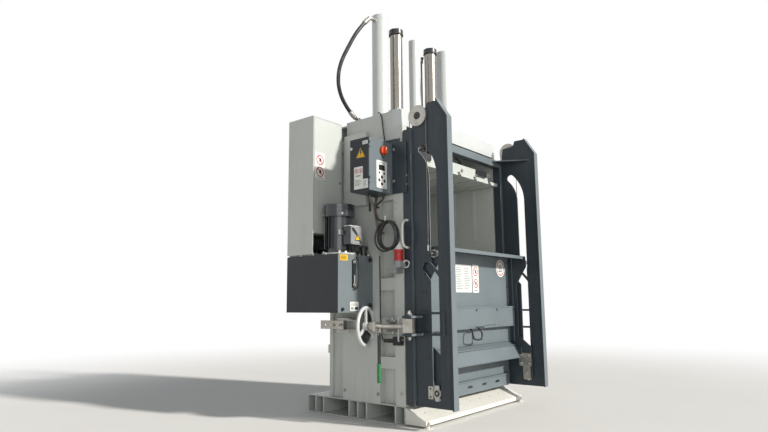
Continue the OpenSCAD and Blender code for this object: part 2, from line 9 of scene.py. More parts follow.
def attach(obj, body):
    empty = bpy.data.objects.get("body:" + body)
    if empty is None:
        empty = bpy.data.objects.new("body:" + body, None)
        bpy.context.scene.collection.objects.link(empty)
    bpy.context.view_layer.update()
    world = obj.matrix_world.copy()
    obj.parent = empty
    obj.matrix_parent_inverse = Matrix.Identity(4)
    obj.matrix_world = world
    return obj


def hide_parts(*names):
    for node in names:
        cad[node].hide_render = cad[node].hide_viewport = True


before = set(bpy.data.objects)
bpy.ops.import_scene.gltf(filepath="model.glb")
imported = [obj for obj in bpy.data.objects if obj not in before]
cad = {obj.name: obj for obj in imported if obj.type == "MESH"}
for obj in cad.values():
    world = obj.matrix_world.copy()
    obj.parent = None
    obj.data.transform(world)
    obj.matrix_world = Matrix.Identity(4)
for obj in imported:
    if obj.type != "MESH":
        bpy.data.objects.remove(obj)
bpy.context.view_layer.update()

random.seed(7)


# the photograph's camera, solved from the machine's straight edges
camera = {"place": (-3.7236, -2.8128, 0.7823), "azimuth": -50.576, "elevation": -8.469, "roll": -0.539, "lens": 27.265}


def setCamera():
    az, el, roll = (math.radians(camera[k]) for k in ("azimuth", "elevation", "roll"))
    back = Vector((math.sin(az) * math.cos(el), -math.cos(az) * math.cos(el), math.sin(el)))
    side = Vector((math.cos(az), math.sin(az), 0))
    up = back.cross(side)
    right = side * math.cos(roll) + up * math.sin(roll)
    upright = up * math.cos(roll) - side * math.sin(roll)
    data = bpy.data.cameras.new("camera")
    data.lens = camera["lens"]
    data.sensor_width = 36
    data.clip_end = 200
    obj = bpy.data.objects.new("camera", data)
    obj.matrix_world = Matrix.Translation(camera["place"]) @ Matrix((right, upright, back)).transposed().to_4x4()
    bpy.context.collection.objects.link(obj)
    bpy.context.scene.camera = obj


setCamera()
print("camera set")


def mm(x, y, z):
    return Vector((x, y, z)) * 0.001


def linear(code):
    # sRGB hex value to linear light
    def channel(text):
        c = int(text, 16) / 255
        return c / 12.92 if c <= 0.04045 else ((c + 0.055) / 1.055) ** 2.4
    return (channel(code[0:2]), channel(code[2:4]), channel(code[4:6]), 1)


def add(tree, kind, links=None, **settings):
    # one node: settings are its own, links are sockets or values for its inputs
    node = tree.nodes.new(kind)
    for key, value in settings.items():
        setattr(node, key, value)
    for key, value in (links or {}).items():
        if isinstance(value, bpy.types.NodeSocket):
            tree.links.new(value, node.inputs[key])
        else:
            node.inputs[key].default_value = value
    return node


def cloudy(tree, place, size, cut=None, detail=4, rough=0.55, stretch=(1, 1, 1)):
    # patches about size mm wide, cut to a mask between two levels where given
    moved = add(tree, "ShaderNodeMapping", {"Vector": place, "Scale": stretch})
    patches = add(tree, "ShaderNodeTexNoise", {"Vector": moved.outputs[0], "Scale": 1000 / size, "Detail": detail,
                                               "Roughness": rough}).outputs[0]
    if cut:
        patches = add(tree, "ShaderNodeMapRange", {"Value": patches, "From Min": cut[0],
                                                   "From Max": cut[1]}).outputs[0]
    return patches


def layOver(tree, base, mask, code, amount=1.0):
    # a second colour lies over the base where the mask is light
    share = add(tree, "ShaderNodeMath", {0: mask, 1: amount}, operation="MULTIPLY").outputs[0]
    return add(tree, "ShaderNodeMix", {0: share, 6: base, 7: linear(code)}, data_type="RGBA").outputs[2]


def startMaterial(name):
    mat = bpy.data.materials.new(name)
    mat.use_nodes = True
    tree = mat.node_tree
    tree.nodes.clear()
    return mat, tree, add(tree, "ShaderNodeTexCoord").outputs["Object"]


def closeMaterial(tree, sockets):
    shader = add(tree, "ShaderNodeBsdfPrincipled", sockets)
    add(tree, "ShaderNodeOutputMaterial", {0: shader.outputs[0]})


def paint(name, color, shade, dust, rough=0.38, peel=0.10, wear="8d8f8e", wearAmount=0.5, coat=0.15, shine=0.5,
          paintedSunlight=None):
    # powder coat: clouding, rain streaks, dust in patches, orange peel, worn corners and, where given,
    # painted sunlight: a lighter colour on the faces that look to the front, towards the sun
    mat, tree, place = startMaterial(name)
    base = layOver(tree, linear(color), cloudy(tree, place, 420, detail=3), shade)
    # painted sunlight: faces whose normal points to the front (-Y) get the lighter colour, a little unevenly
    if paintedSunlight:
        normal = add(tree, "ShaderNodeSeparateXYZ", {0: add(tree, "ShaderNodeTexCoord").outputs["Normal"]})
        front = add(tree, "ShaderNodeMapRange", {"Value": normal.outputs[1], "From Min": -0.25, "From Max": -0.8})
        uneven = add(tree, "ShaderNodeMapRange", {"Value": cloudy(tree, place, 190, detail=5), "To Min": 0.86,
                                                  "To Max": 1.1})
        dustAndSunlightMask = add(tree, "ShaderNodeMath", {0: front.outputs[0], 1: uneven.outputs[0]}, operation="MULTIPLY",
                   use_clamp=True).outputs[0]
        base = layOver(tree, base, dustAndSunlightMask, paintedSunlight)
    streaks = cloudy(tree, place, 38, (0.52, 0.80), 5, 0.6, (1, 1, 0.05))
    patches = cloudy(tree, place, 260, (0.42, 0.72), 6, 0.62)
    dirty = add(tree, "ShaderNodeMath", {0: streaks, 1: patches}, operation="MULTIPLY").outputs[0]
    base = layOver(tree, base, dirty, dust, 0.55)
    specks = cloudy(tree, place, 9, (0.66, 0.74), 3, 0.7)
    base = layOver(tree, base, specks, dust, 0.22)
    soft = add(tree, "ShaderNodeBevel", {"Radius": 0.0016}, samples=6).outputs[0]
    flat = add(tree, "ShaderNodeNewGeometry").outputs["True Normal"]
    facing = add(tree, "ShaderNodeVectorMath", {0: soft, 1: flat}, operation="DOT_PRODUCT").outputs["Value"]
    corner = add(tree, "ShaderNodeMapRange", {"Value": facing, "From Min": 0.985, "From Max": 0.86}).outputs[0]
    chips = cloudy(tree, place, 22, (0.50, 0.62), 6, 0.7)
    worn = add(tree, "ShaderNodeMath", {0: corner, 1: chips}, operation="MULTIPLY").outputs[0]
    base = layOver(tree, base, worn, wear, wearAmount)
    grain = add(tree, "ShaderNodeBump", {"Height": cloudy(tree, place, 3.2, detail=2), "Strength": peel,
                                         "Distance": 0.0006, "Normal": soft}).outputs[0]
    waves = add(tree, "ShaderNodeBump", {"Height": cloudy(tree, place, 330, detail=2), "Strength": 0.10,
                                         "Distance": 0.006, "Normal": grain}).outputs[0]
    gloss = add(tree, "ShaderNodeMapRange", {"Value": dirty, "To Min": rough, "To Max": rough + 0.3}).outputs[0]
    closeMaterial(tree, {"Base Color": base, "Roughness": gloss, "Specular IOR Level": shine, "Coat Weight": coat,
                         "Coat Roughness": 0.22, "Normal": waves})
    return mat


def metal(name, color, shade, stain, rough=0.32, brush=(1, 1, 1), stains=0.5):
    # bare or zinc plated steel: brush lines, spangle, tarnish in patches
    mat, tree, place = startMaterial(name)
    base = layOver(tree, linear(color), cloudy(tree, place, 14, detail=3, stretch=brush), shade)
    tarnish = cloudy(tree, place, 85, (0.48, 0.72), 7, 0.66, brush)
    base = layOver(tree, base, tarnish, stain, stains)
    lines = cloudy(tree, place, 2.2, None, 3, 0.6, brush)
    soft = add(tree, "ShaderNodeBevel", {"Radius": 0.0012}, samples=4).outputs[0]
    bump = add(tree, "ShaderNodeBump", {"Height": lines, "Strength": 0.16, "Distance": 0.0005, "Normal": soft})
    gloss = add(tree, "ShaderNodeMapRange", {"Value": tarnish, "To Min": rough, "To Max": rough + 0.28}).outputs[0]
    closeMaterial(tree, {"Base Color": base, "Metallic": 1.0, "Roughness": gloss, "Normal": bump.outputs[0]})
    return mat


def plastic(name, color, shade, rough=0.45, grainSize=1.4, peel=0.18, dust="8f8b82", dustAmount=0.25):
    # moulded plastic or rubber: fine grain, dust in the hollows, small shade changes
    mat, tree, place = startMaterial(name)
    base = layOver(tree, linear(color), cloudy(tree, place, 60), shade)
    dustAndSunlightMask = cloudy(tree, place, 34, (0.50, 0.78), 6, 0.65)
    base = layOver(tree, base, dustAndSunlightMask, dust, dustAmount)
    soft = add(tree, "ShaderNodeBevel", {"Radius": 0.001}, samples=4).outputs[0]
    grain = cloudy(tree, place, grainSize, detail=2)
    bump = add(tree, "ShaderNodeBump", {"Height": grain, "Strength": peel, "Distance": 0.0003, "Normal": soft})
    gloss = add(tree, "ShaderNodeMapRange", {"Value": dustAndSunlightMask, "To Min": rough, "To Max": rough + 0.2}).outputs[0]
    closeMaterial(tree, {"Base Color": base, "Roughness": gloss, "Normal": bump.outputs[0]})
    return mat


mats = {
    # light grey powder coat of the body: calm and pale, dust runs down from the seams
    "light": paint("lightGreyPowderCoat", "bec1bc", "b1b5b0", "7d776a", rough=0.40, wear="6f6e69"),
    # white enamel of the head, cylinders and header: brighter and smoother than the body
    "white": paint("whiteEnamel", "c3c6c5", "bcbfbe", "9b968a", rough=0.30, wear="8a8984", coat=0.3),
    # anthracite powder coat of the door and the boxes: blue-grey, shows dust and pale corners; painted sunlight
    # lightens its front faces
    "dark": paint("anthracitePowderCoat", "373f46", "30383e", "62605a", rough=0.34, wear="8e969a", wearAmount=0.7,
                  coat=0.04, shine=0.3, paintedSunlight="697276"),
    # painted shade: a darker, bluish copy of the anthracite coat for the control box door, which faces away from the
    # sun
    "shadedDoor": paint("shadedAnthraciteDoorCoat", "23282d", "1e2327", "5f5d57", rough=0.38, wear="6d7478", wearAmount=0.5,
                   coat=0.04, shine=0.3),
    # darker anthracite of the oil tank: its side stays near black, and painted sunlight lightens its front faces as on
    # the door
    "tank": paint("tankAnthracite", "303437", "2a2e31", "55534e", rough=0.42, wear="7d8488", wearAmount=0.6, coat=0.04,
                  shine=0.3, paintedSunlight="6d7578"),
    # black enamel of the rod caps and small fittings: deep, with grey dust on the edges
    "black": paint("blackMachineEnamel", "17191b", "1f2123", "55534e", rough=0.40, peel=0.3, wear="5c5f61"),
    # sill plate: light coat walked on and scraped down to steel
    "sill": paint("scuffedSillCoat", "dddcd4", "c9c7bd", "77705f", rough=0.50, wear="5d5c58", wearAmount=0.9),
    # zinc plated lock parts and screws: dull spangle, grey-yellow tarnish
    "zinc": metal("zincPlatedSteel", "b9b7b0", "a3a19b", "7b7467", rough=0.36),
    # ground guide rods: bright with lengthwise grease streaks, brown near the top
    "rod": metal("groundSteelRod", "a09c96", "87827b", "514b44", rough=0.22, brush=(1, 1, 0.02), stains=0.7),
    # hard chrome of the piston rods: mirror bright, hardly stained
    "chrome": metal("hardChrome", "c3c5c6", "b4b6b8", "8b8a86", rough=0.12, brush=(1, 1, 0.02), stains=0.2),
    # glossy black enamel of the motor: sharp highlights on cowl and fins
    "motor": paint("glossyMotorEnamel", "1b1f24", "22262b", "4a4a47", rough=0.16, peel=0.12, wear="5c5f61",
                   coat=0.42),
    # black moulded plastic of switch, fan and glands: even and slightly matt
    "plastic": plastic("blackMouldedPlastic", "1a1b1d", "242528"),
    # oily rubber cover of the hydraulic hose: deep black with a soft sheen
    "hose": plastic("oilyHoseRubber", "131415", "1d1e1f", rough=0.36, grainSize=2.4, peel=0.3, dustAmount=0.2),
    # soft PVC sheath of the cables: dull black with a film of dust
    "cable": plastic("cableSheath", "17181a", "222325", rough=0.55, grainSize=1.0),
    # flexible conduit: beige grey, dustier than the cables beside it
    "conduit": plastic("dustyConduit", "7d766a", "6b655a", rough=0.6, grainSize=3.0, peel=0.4, dust="a39a88"),
    # grey plastic of socket and terminal lid: flat and a little stained
    "grey": plastic("greyMouldedPlastic", "8d9090", "7f8283", dust="5c5950"),
    # red body of the five pole plug: clean and shiny from handling
    "red": plastic("redPlugPlastic", "b3201c", "9c1a17", rough=0.35, dustAmount=0.15),
    # pale plastic of plug gland and grab handle: nearly white, dusty in the grain
    "pale": plastic("paleGlandPlastic", "dcdbd5", "cfcec8", rough=0.42, dust="a09a8c", dustAmount=0.3),
    # orange-red switch knob: the only bright spot, smooth with a clear highlight
    "orange": plastic("orangeSwitchPlastic", "cf4a12", "b93f0e", rough=0.33, dustAmount=0.12),
    # green dipped grip of the hanging lever: rubbery with low ribs
    "green": plastic("greenDippedGrip", "25753f", "1d6033", rough=0.38, peel=0.3),
    # printed label film, matt and slightly yellowed
    "label": plastic("printedLabelFilm", "e3e4e0", "d6d7d2", rough=0.5, grainSize=0.8, peel=0.06, dust="aaa597"),
    "labelGrey": plastic("greyLabelInk", "8b8e8e", "7c8080", rough=0.5, peel=0.05),
    "labelRed": plastic("redLabelInk", "b8282a", "a32224", rough=0.45, peel=0.05, dustAmount=0.12),
    "labelYellow": plastic("yellowLabelInk", "e0b01c", "d2a216", rough=0.42, peel=0.05, dustAmount=0.15),
    "labelBlack": plastic("blackLabelInk", "1c1c1e", "262628", rough=0.42, peel=0.05, dustAmount=0.1),
    # display window: dark and glossy
    "display": plastic("displayWindow", "222a26", "2a332e", rough=0.12, peel=0.0, dustAmount=0.05),
}


# wire rope: spacing of its strands in mm, drawn as coarse as the render can show
rope = {"strand": 4.5, "grease": "35312b", "wire": "a09a8e"}


def ropeMaterial():
    # slanting strands of worn wire with dark grease between them
    mat, tree, place = startMaterial("twistedWireRope")
    turned = add(tree, "ShaderNodeMapping", {"Vector": place, "Rotation": (0.5, 0.5, 0)})
    strands = add(tree, "ShaderNodeTexWave", {"Vector": turned.outputs[0], "Scale": 315 / rope["strand"],
                                              "Distortion": 0.4}, bands_direction="Z").outputs[1]
    base = layOver(tree, linear(rope["grease"]), strands, rope["wire"])
    bump = add(tree, "ShaderNodeBump", {"Height": strands, "Strength": 0.6, "Distance": 0.0008})
    closeMaterial(tree, {"Base Color": base, "Metallic": 0.8, "Roughness": 0.42, "Normal": bump.outputs[0]})
    return mat


mats["rope"] = ropeMaterial()

coats = {
    "light": "base_frame chamber_walls left_side_frame right_side_frame head_frame valve_cabinet hinge_pins platen "
             "door_handle",
    "white": "header_front rod_housings press_cylinders middle_tube hand_wheel",
    "dark": "left_door_post right_door_post left_web_plate right_web_plate door_panel door_lintel door_gussets "
            "lock_fork flap_panel flap_arms control_bracket control_box",
    # the control box door takes the painted-shade copy of the anthracite coat
    "shadedDoor": "control_box_door",
    "tank": "oil_tank",
    "black": "rod_caps tank_fittings counterweights flap_handle lock_lever",
    "motor": "pump_motor motor_terminal_box",
    "sill": "front_sill",
    "zinc": "hose_fittings door_lock cable_hook lock_ears lock_rear_bracket left_pulley right_pulley upper_rollers "
            "lower_rollers lock_spindle lock_collar",
    "rod": "guide_rods",
    "chrome": "piston_rods",
    "rope": "flap_ropes rear_ropes",
    "plastic": "motor_fan safety_switch",
    "grey": "plug_socket",
    "red": "cable_plug",
    "orange": "main_switch",
    "hose": "hydraulic_hose",
    "cable": "supply_cable cable_coil",
}


def coat(node, mat):
    obj = cad[node]
    if not obj.material_slots:
        obj.data.materials.append(mat)
    for one in obj.material_slots:
        one.link = "OBJECT"
        one.material = mat


for key, names in coats.items():
    for name in names.split():
        coat(name, mats[key])
print("coats given")


faces = {
    "-Y": ((1, 0, 0), (0, 0, 1), (0, -1, 0)),
    "+Y": ((-1, 0, 0), (0, 0, 1), (0, 1, 0)),
    "-X": ((0, -1, 0), (0, 0, 1), (-1, 0, 0)),
    "+X": ((0, 1, 0), (0, 0, 1), (1, 0, 0)),
    "+Z": ((1, 0, 0), (0, 1, 0), (0, 0, 1)),
    "-Z": ((1, 0, 0), (0, -1, 0), (0, 0, -1)),
}


def circle(radius, count=24, start=0.0, x=0.0, y=0.0):
    return [(x + radius * math.cos(start + 2 * math.pi * i / count),
             y + radius * math.sin(start + 2 * math.pi * i / count)) for i in range(count)]


def roundRect(w, h, r, x=0.0, y=0.0):
    steps = 4
    out = []
    for cx, cy, a0 in ((w / 2 - r, h / 2 - r, 0), (r - w / 2, h / 2 - r, 90), (r - w / 2, r - h / 2, 180),
                       (w / 2 - r, r - h / 2, 270)):
        for i in range(steps + 1):
            a = math.radians(a0 + 90 * i / steps)
            out.append((x + cx + r * math.cos(a), y + cy + r * math.sin(a)))
    return out


def prism(bm, centre, axes, outline, low, high, index=0, taper=0.0):
    # outline and heights in mm, standing out of a face along its normal
    u, v, n = (Vector(a) for a in axes)
    rings = []
    for height, inset in ((low, 0.0), (high - taper, 0.0), (high, taper)) if taper else ((low, 0.0), (high, 0.0)):
        ring = []
        for a, b in outline:
            size = math.hypot(a, b) or 1
            k = 1 - inset / size
            ring.append(bm.verts.new(centre + (u * a * k + v * b * k + n * height) * 0.001))
        rings.append(ring)
    made = [bm.faces.new(list(reversed(rings[0]))), bm.faces.new(rings[-1])]
    for lower, upper in zip(rings, rings[1:]):
        for i in range(len(lower)):
            j = (i + 1) % len(lower)
            made.append(bm.faces.new((lower[i], lower[j], upper[j], upper[i])))
    for face in made:
        face.material_index = index


def finishMesh(name, bm, materials, body, bevel=0.0, smooth=False):
    bmesh.ops.recalc_face_normals(bm, faces=bm.faces)
    mesh = bpy.data.meshes.new(name)
    bm.to_mesh(mesh)
    bm.free()
    obj = bpy.data.objects.new(name, mesh)
    bpy.context.collection.objects.link(obj)
    for mat in materials:
        mesh.materials.append(mats[mat])
    if smooth:
        for poly in mesh.polygons:
            poly.use_smooth = True
        mod = obj.modifiers.new("edges", "EDGE_SPLIT")
        mod.split_angle = math.radians(35)
    if bevel:
        mod = obj.modifiers.new("bevel", "BEVEL")
        mod.width = bevel / 1000
        mod.segments = 2
        mod.limit_method = "ANGLE"
    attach(obj, body)
    return obj


def frameOn(direction):
    n = Vector(direction).normalized()
    u = n.orthogonal().normalized()
    return (u, n.cross(u), n)


def boltSet(name, places, body, mat="zinc", washer=True):
    # each place is (point in mm, facing or direction, width over flats in mm)
    bm = bmesh.new()
    for point, facing, size in places:
        axes = faces[facing] if isinstance(facing, str) else frameOn(facing)
        centre = mm(*point)
        turn = random.uniform(0, 1)
        base = 0.0
        if washer:
            prism(bm, centre, axes, circle(size * 0.95, 20), 0, size * 0.14, 0, size * 0.04)
            base = size * 0.14
        prism(bm, centre, axes, circle(size * 0.577, 6, turn), base, base + size * 0.62, 0, size * 0.08)
        prism(bm, centre, axes, circle(size * 0.28, 12), base, base + size * 0.82, 0, size * 0.05)
    return finishMesh(name, bm, [mat], body)


def capBolts(name, places, body):
    # socket head screws; painted shade: a black hexagon on each head stands for the shaded hex socket
    bm = bmesh.new()
    for point, facing, size in places:
        axes = faces[facing]
        centre = mm(*point)
        prism(bm, centre, axes, circle(size * 0.75, 20), 0, size * 0.9, 0, size * 0.08)
        prism(bm, centre, axes, circle(size * 0.36, 6), size * 0.9, size * 0.9 + 0.15, 1)
    return finishMesh(name, bm, ["zinc", "labelBlack"], body)


def panel(name, centre, facing, layers, body, bevel=0.0):
    # layers: (outline, low, high, material)
    bm = bmesh.new()
    used = []
    for outline, low, high, mat in layers:
        if mat not in used:
            used.append(mat)
        prism(bm, mm(*centre), faces[facing], outline, low, high, used.index(mat))
    return finishMesh(name, bm, used, body, bevel)


def strip(w, h, x=0.0, y=0.0, turn=0.0):
    c, s = math.cos(turn), math.sin(turn)
    return [(x + a * c - b * s, y + a * s + b * c)
            for a, b in ((-w / 2, -h / 2), (w / 2, -h / 2), (w / 2, h / 2), (-w / 2, h / 2))]


def catmull(points, count=8):
    pts = [Vector(p) for p in points]
    out = []
    for i in range(len(pts) - 1):
        a, b, c, d = pts[max(i - 1, 0)], pts[i], pts[i + 1], pts[min(i + 2, len(pts) - 1)]
        for k in range(count):
            t = k / count
            out.append(0.5 * (2 * b + (c - a) * t + (2 * a - 5 * b + 4 * c - d) * t * t
                              + (3 * b - a - 3 * c + d) * t ** 3))
    out.append(pts[-1])
    return out


def tube(name, points, radius, mat, body, around=3):
    data = bpy.data.curves.new(name, "CURVE")
    data.dimensions = "3D"
    data.bevel_depth = radius / 1000
    data.bevel_resolution = around
    data.use_fill_caps = True
    spline = data.splines.new("POLY")
    spline.points.add(len(points) - 1)
    for point, spot in zip(spline.points, points):
        point.co = (*(Vector(spot) * 0.001), 1)
    data.materials.append(mats[mat])
    obj = bpy.data.objects.new(name, data)
    bpy.context.collection.objects.link(obj)
    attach(obj, body)
    return obj


def pathLength(points):
    return sum((Vector(b) - Vector(a)).length for a, b in zip(points, points[1:])) / 1000


def lathe(bm, centre, axes, profile, count=32, index=0):
    # profile: (radius, height) in mm along the normal
    u, v, n = (Vector(a) for a in axes)
    rings = []
    for radius, height in profile:
        rings.append([bm.verts.new(centre + ((u * math.cos(a) + v * math.sin(a)) * radius + n * height) * 0.001)
                      for a in (2 * math.pi * i / count for i in range(count))])
    made = [bm.faces.new(list(reversed(rings[0]))), bm.faces.new(rings[-1])]
    for lower, upper in zip(rings, rings[1:]):
        for i in range(count):
            j = (i + 1) % count
            made.append(bm.faces.new((lower[i], lower[j], upper[j], upper[i])))
    for face in made:
        face.material_index = index


# supply cable: out of the box, down to the hook, five loose turns, then down to its plug
cable = {"diameter": 12.5, "loops": 5, "middle": (-742, -388, 1216), "tall": 106, "wide": 91,
         "sizes": (0.96, 1.00, 0.82, 0.95, 0.86, 0.94), "sway": 12, "lean": 7, "exit": (-736, -285, 1512),
         "plug": (-700, -450, 1050), "ribs": 12}


def relax(points, step, rounds):
    # points at even distances, then the bends eased as in a stiff cable; both ends keep their place
    dense = catmull(points, 8)
    line, left = [dense[0]], step
    for a, b in zip(dense, dense[1:]):
        gap = (b - a).length
        while left <= gap:
            line.append(a + (b - a) * (left / gap))
            left += step
        left -= gap
    line.append(dense[-1])
    for turn in range(rounds):
        line = (line[:4] + [(line[i - 1] + line[i] * 2 + line[i + 1]) / 4 for i in range(4, len(line) - 4)]
                + line[-4:])
    return line


def cablePath():
    # gland to the top of the coil, loops that hang a little apart, then down into the plug
    head = [cable["exit"], (-736, -285, 1470), (-736, -281, 1430), (-736, -278, 1390), (-738, -286, 1350),
            (-742, -312, 1330), (-746, -345, 1322)]
    cx, cy, cz = cable["middle"]
    steps = 12
    turns = []
    for i in range(0, cable["loops"] * steps + 1):
        a = 2 * math.pi * i / steps
        lap = i / steps
        size = cable["sizes"][min(int(lap), 4)] * (1 - lap % 1) + cable["sizes"][min(int(lap) + 1, 5)] * (lap % 1)
        wide = cable["wide"] * size * (1 - 0.10 * math.cos(a))
        top = cz + 4 + cable["tall"] - 4 * math.sin(3 * lap)
        tall = cable["tall"] * (0.35 + 0.65 * size)
        turns.append((cx - 15 + cable["lean"] * lap, cy - wide * math.sin(a) + cable["sway"] * math.sin(2.5 * lap),
                      top - tall * (1 - math.cos(a))))
    x0, y0, z0 = turns[-1]
    tail = [(x0 + 7, y0 - 32, z0 - 8), (x0 + 13, y0 - 55, z0 - 30), (-701, -447, 1262), (-700, -450, 1232),
            (-700, -450, 1210), (-700, -450, 1190)]
    return relax(head + turns + tail, 8, 36)


def buildCable():
    path = cablePath()
    piece = tube("supplyCable", path, cable["diameter"] / 2, "cable", "frame", 4)
    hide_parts("supply_cable", "cable_coil")
    x, y, z = cable["plug"]
    bm = bmesh.new()
    lathe(bm, mm(x, y, z + 78), faces["+Z"],
          [(31, 0), (31, 4), (29, 8), (27, 30), (21, 52), (13, 62), (9, 66), (8, 70)], 32, 0)
    lathe(bm, mm(x, y, z), faces["+Z"],
          [(30, 2), (31.5, 6), (31.5, 20), (29, 24), (29, 60), (31.5, 64), (31.5, 78)], 32, 1)
    for i in range(cable["ribs"]):
        a = 2 * math.pi * i / cable["ribs"]
        prism(bm, mm(x + 28.5 * math.cos(a), y + 28.5 * math.sin(a), z + 26), faces["+Z"],
              strip(3, 3, 0, 0, a), 0, 34, 1)
    plug = finishMesh("plugBody", bm, ["pale", "red"], "frame", 0, True)
    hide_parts("cable_plug")
    print("cable", round(pathLength(path), 3), "m")


buildCable()


# hydraulic hoses: crimped sleeves and elbows at both ends
hoses = {
    "diameter": 29,
    "hoseLeft": [(-576, -82, 2916), (-612, -70, 2872), (-664, -46, 2790), (-704, -20, 2700), (-748, 14, 2580),
                 (-766, 36, 2480), (-750, 56, 2385), (-700, 72, 2305), (-625, 82, 2240), (-556, 85, 2196)],
    "hoseRight": [(440, 30, 2918), (440, 66, 2860), (440, 90, 2760), (440, 98, 2600), (436, 96, 2430),
                  (426, 90, 2300), (420, 85, 2216)],
}
elbows = {
    "elbowLeft": (13, [(-500, -90, 2938), (-530, -89, 2938), (-552, -87, 2933), (-570, -83, 2922)]),
    "elbowLeftLow": (13, [(-556, 85, 2196), (-535, 85, 2184), (-512, 85, 2174), (-500, 85, 2160), (-500, 85, 2140)]),
    "elbowRight": (12, [(440, -10, 2930), (440, 10, 2930), (440, 24, 2924)]),
}


def buildHoses():
    for name in ("hoseLeft", "hoseRight"):
        path = catmull(hoses[name], 8)
        piece = tube(name, path, hoses["diameter"] / 2, "hose", "frame", 5)
        if name == "hoseLeft":
            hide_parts("hydraulic_hose")
        bm = bmesh.new()
        for start, after in ((path[0], path[3]), (path[-1], path[-4])):
            way = (Vector(after) - Vector(start)).normalized()
            lathe(bm, start * 0.001, frameOn(way),
                  [(12, -26), (17, -24), (17, -8), (15, -7), (15, -4), (18.5, -2), (18.5, 44), (16, 47), (15.2, 48)],
                  24)
            for k in range(5):  # crimp marks
                lathe(bm, start * 0.001, frameOn(way), [(18.6, 4 + k * 8), (19.2, 5 + k * 8), (19.2, 8 + k * 8),
                                                         (18.6, 9 + k * 8)], 24)
        finishMesh(name + "Sleeves", bm, ["zinc"], "frame", 0, True)
    for name, (radius, bend) in elbows.items():
        tube(name, catmull(bend, 5), radius, "zinc", "frame")


buildHoses()
print("cords laid")


# sky light from all sides, a low warm sun in front of the machine and a weak fill on its left side
light = {"sky": "dfe6ee", "skyStrength": 0.30, "sunEnergy": 4.75, "sunWidth": 4, "sunColor": (1.0, 0.97, 0.92),
         "sunFrom": (0.24, -0.97, 0.52), "fillEnergy": 100, "fillSize": 4, "fillPlace": (-5.2, -4.4, 1.7),
         "fillFrom": (-5.2, -4.0, 0.7)}


def hangLamp(name, data, fromWay, place=(0, 0, 0)):
    lamp = bpy.data.objects.new(name, data)
    lamp.location = place
    lamp.rotation_euler = Vector(fromWay).to_track_quat("Z", "Y").to_euler()
    bpy.context.collection.objects.link(lamp)


def standLight():
    scene = bpy.context.scene
    scene.view_settings.view_transform = "Standard"
    world = bpy.data.worlds.new("studio")
    scene.world = world
    world.use_nodes = True
    tree = world.node_tree
    tree.nodes.clear()
    # camera, mirrors and glass see pure white, the object is lit by the soft sky
    rays = add(tree, "ShaderNodeLightPath").outputs
    seen = add(tree, "ShaderNodeMath", {0: rays["Is Camera Ray"], 1: rays["Is Transmission Ray"]},
               operation="MAXIMUM")
    seen = add(tree, "ShaderNodeMath", {0: seen.outputs[0], 1: rays["Is Glossy Ray"]}, operation="MAXIMUM")
    sky = add(tree, "ShaderNodeBackground", {"Color": linear(light["sky"]), "Strength": light["skyStrength"]})
    pure = add(tree, "ShaderNodeBackground", {"Color": (1, 1, 1, 1), "Strength": 1.0})
    both = add(tree, "ShaderNodeMixShader", {0: seen.outputs[0], 1: sky.outputs[0], 2: pure.outputs[0]})
    add(tree, "ShaderNodeOutputWorld", {0: both.outputs[0]})
    sun = bpy.data.lights.new("sun", "SUN")
    sun.energy = light["sunEnergy"]
    sun.angle = math.radians(light["sunWidth"])
    sun.color = light["sunColor"]
    hangLamp("sun", sun, light["sunFrom"])
    fill = bpy.data.lights.new("fill", "AREA")
    fill.energy = light["fillEnergy"]
    fill.size = light["fillSize"]
    hangLamp("fill", fill, light["fillFrom"], light["fillPlace"])


# pale floor: it fades to white between two distances from the machine, in metres
floor = {"size": 40, "dark": "dad8d3", "pale": "e3e1dd", "fadeStart": 2.2, "fadeEnd": 7.5}


def floorMaterial():
    # painted concrete, matt and nearly even, so that only the machine's shadow shows on it
    mat, tree, place = startMaterial("paleStudioFloor")
    base = layOver(tree, linear(floor["dark"]), cloudy(tree, place, 900), floor["pale"])
    bump = add(tree, "ShaderNodeBump", {"Height": cloudy(tree, place, 6), "Strength": 0.12, "Distance": 0.001})
    shader = add(tree, "ShaderNodeBsdfPrincipled", {"Base Color": base, "Roughness": 0.8,
                                                    "Normal": bump.outputs[0]})
    reach = add(tree, "ShaderNodeVectorMath", {0: place}, operation="LENGTH").outputs["Value"]
    fade = add(tree, "ShaderNodeMapRange", {"Value": reach, "From Min": floor["fadeStart"],
                                            "From Max": floor["fadeEnd"]}, interpolation_type="SMOOTHSTEP")
    glow = add(tree, "ShaderNodeEmission", {"Color": (1, 1, 1, 1), "Strength": 1.0})
    rays = add(tree, "ShaderNodeLightPath")
    seen = add(tree, "ShaderNodeMath", {0: rays.outputs["Is Camera Ray"], 1: fade.outputs[0]},
               operation="MULTIPLY")
    mixed = add(tree, "ShaderNodeMixShader", {0: seen.outputs[0], 1: shader.outputs[0], 2: glow.outputs[0]})
    add(tree, "ShaderNodeOutputMaterial", {0: mixed.outputs[0]})
    return mat


def layFloor():
    bm = bmesh.new()
    bmesh.ops.create_grid(bm, x_segments=8, y_segments=8, size=floor["size"])
    mesh = bpy.data.meshes.new("floor")
    bm.to_mesh(mesh)
    bm.free()
    mesh.materials.append(floorMaterial())
    obj = bpy.data.objects.new("floor", mesh)
    bpy.context.collection.objects.link(obj)


standLight()
layFloor()
print("studio ready")


def textLines(w, h, rows, mat="labelGrey", x=0.0, y=0.0, seed=1):
    # grey bars in place of print
    rng = random.Random(seed)
    out = []
    for i in range(rows):
        row = y + h / 2 - (i + 0.5) * h / rows
        long = w * rng.uniform(0.55, 1.0)
        out.append((strip(long, h / rows * 0.45, x - (w - long) / 2, row), 0.25, 0.5, mat))
    return out


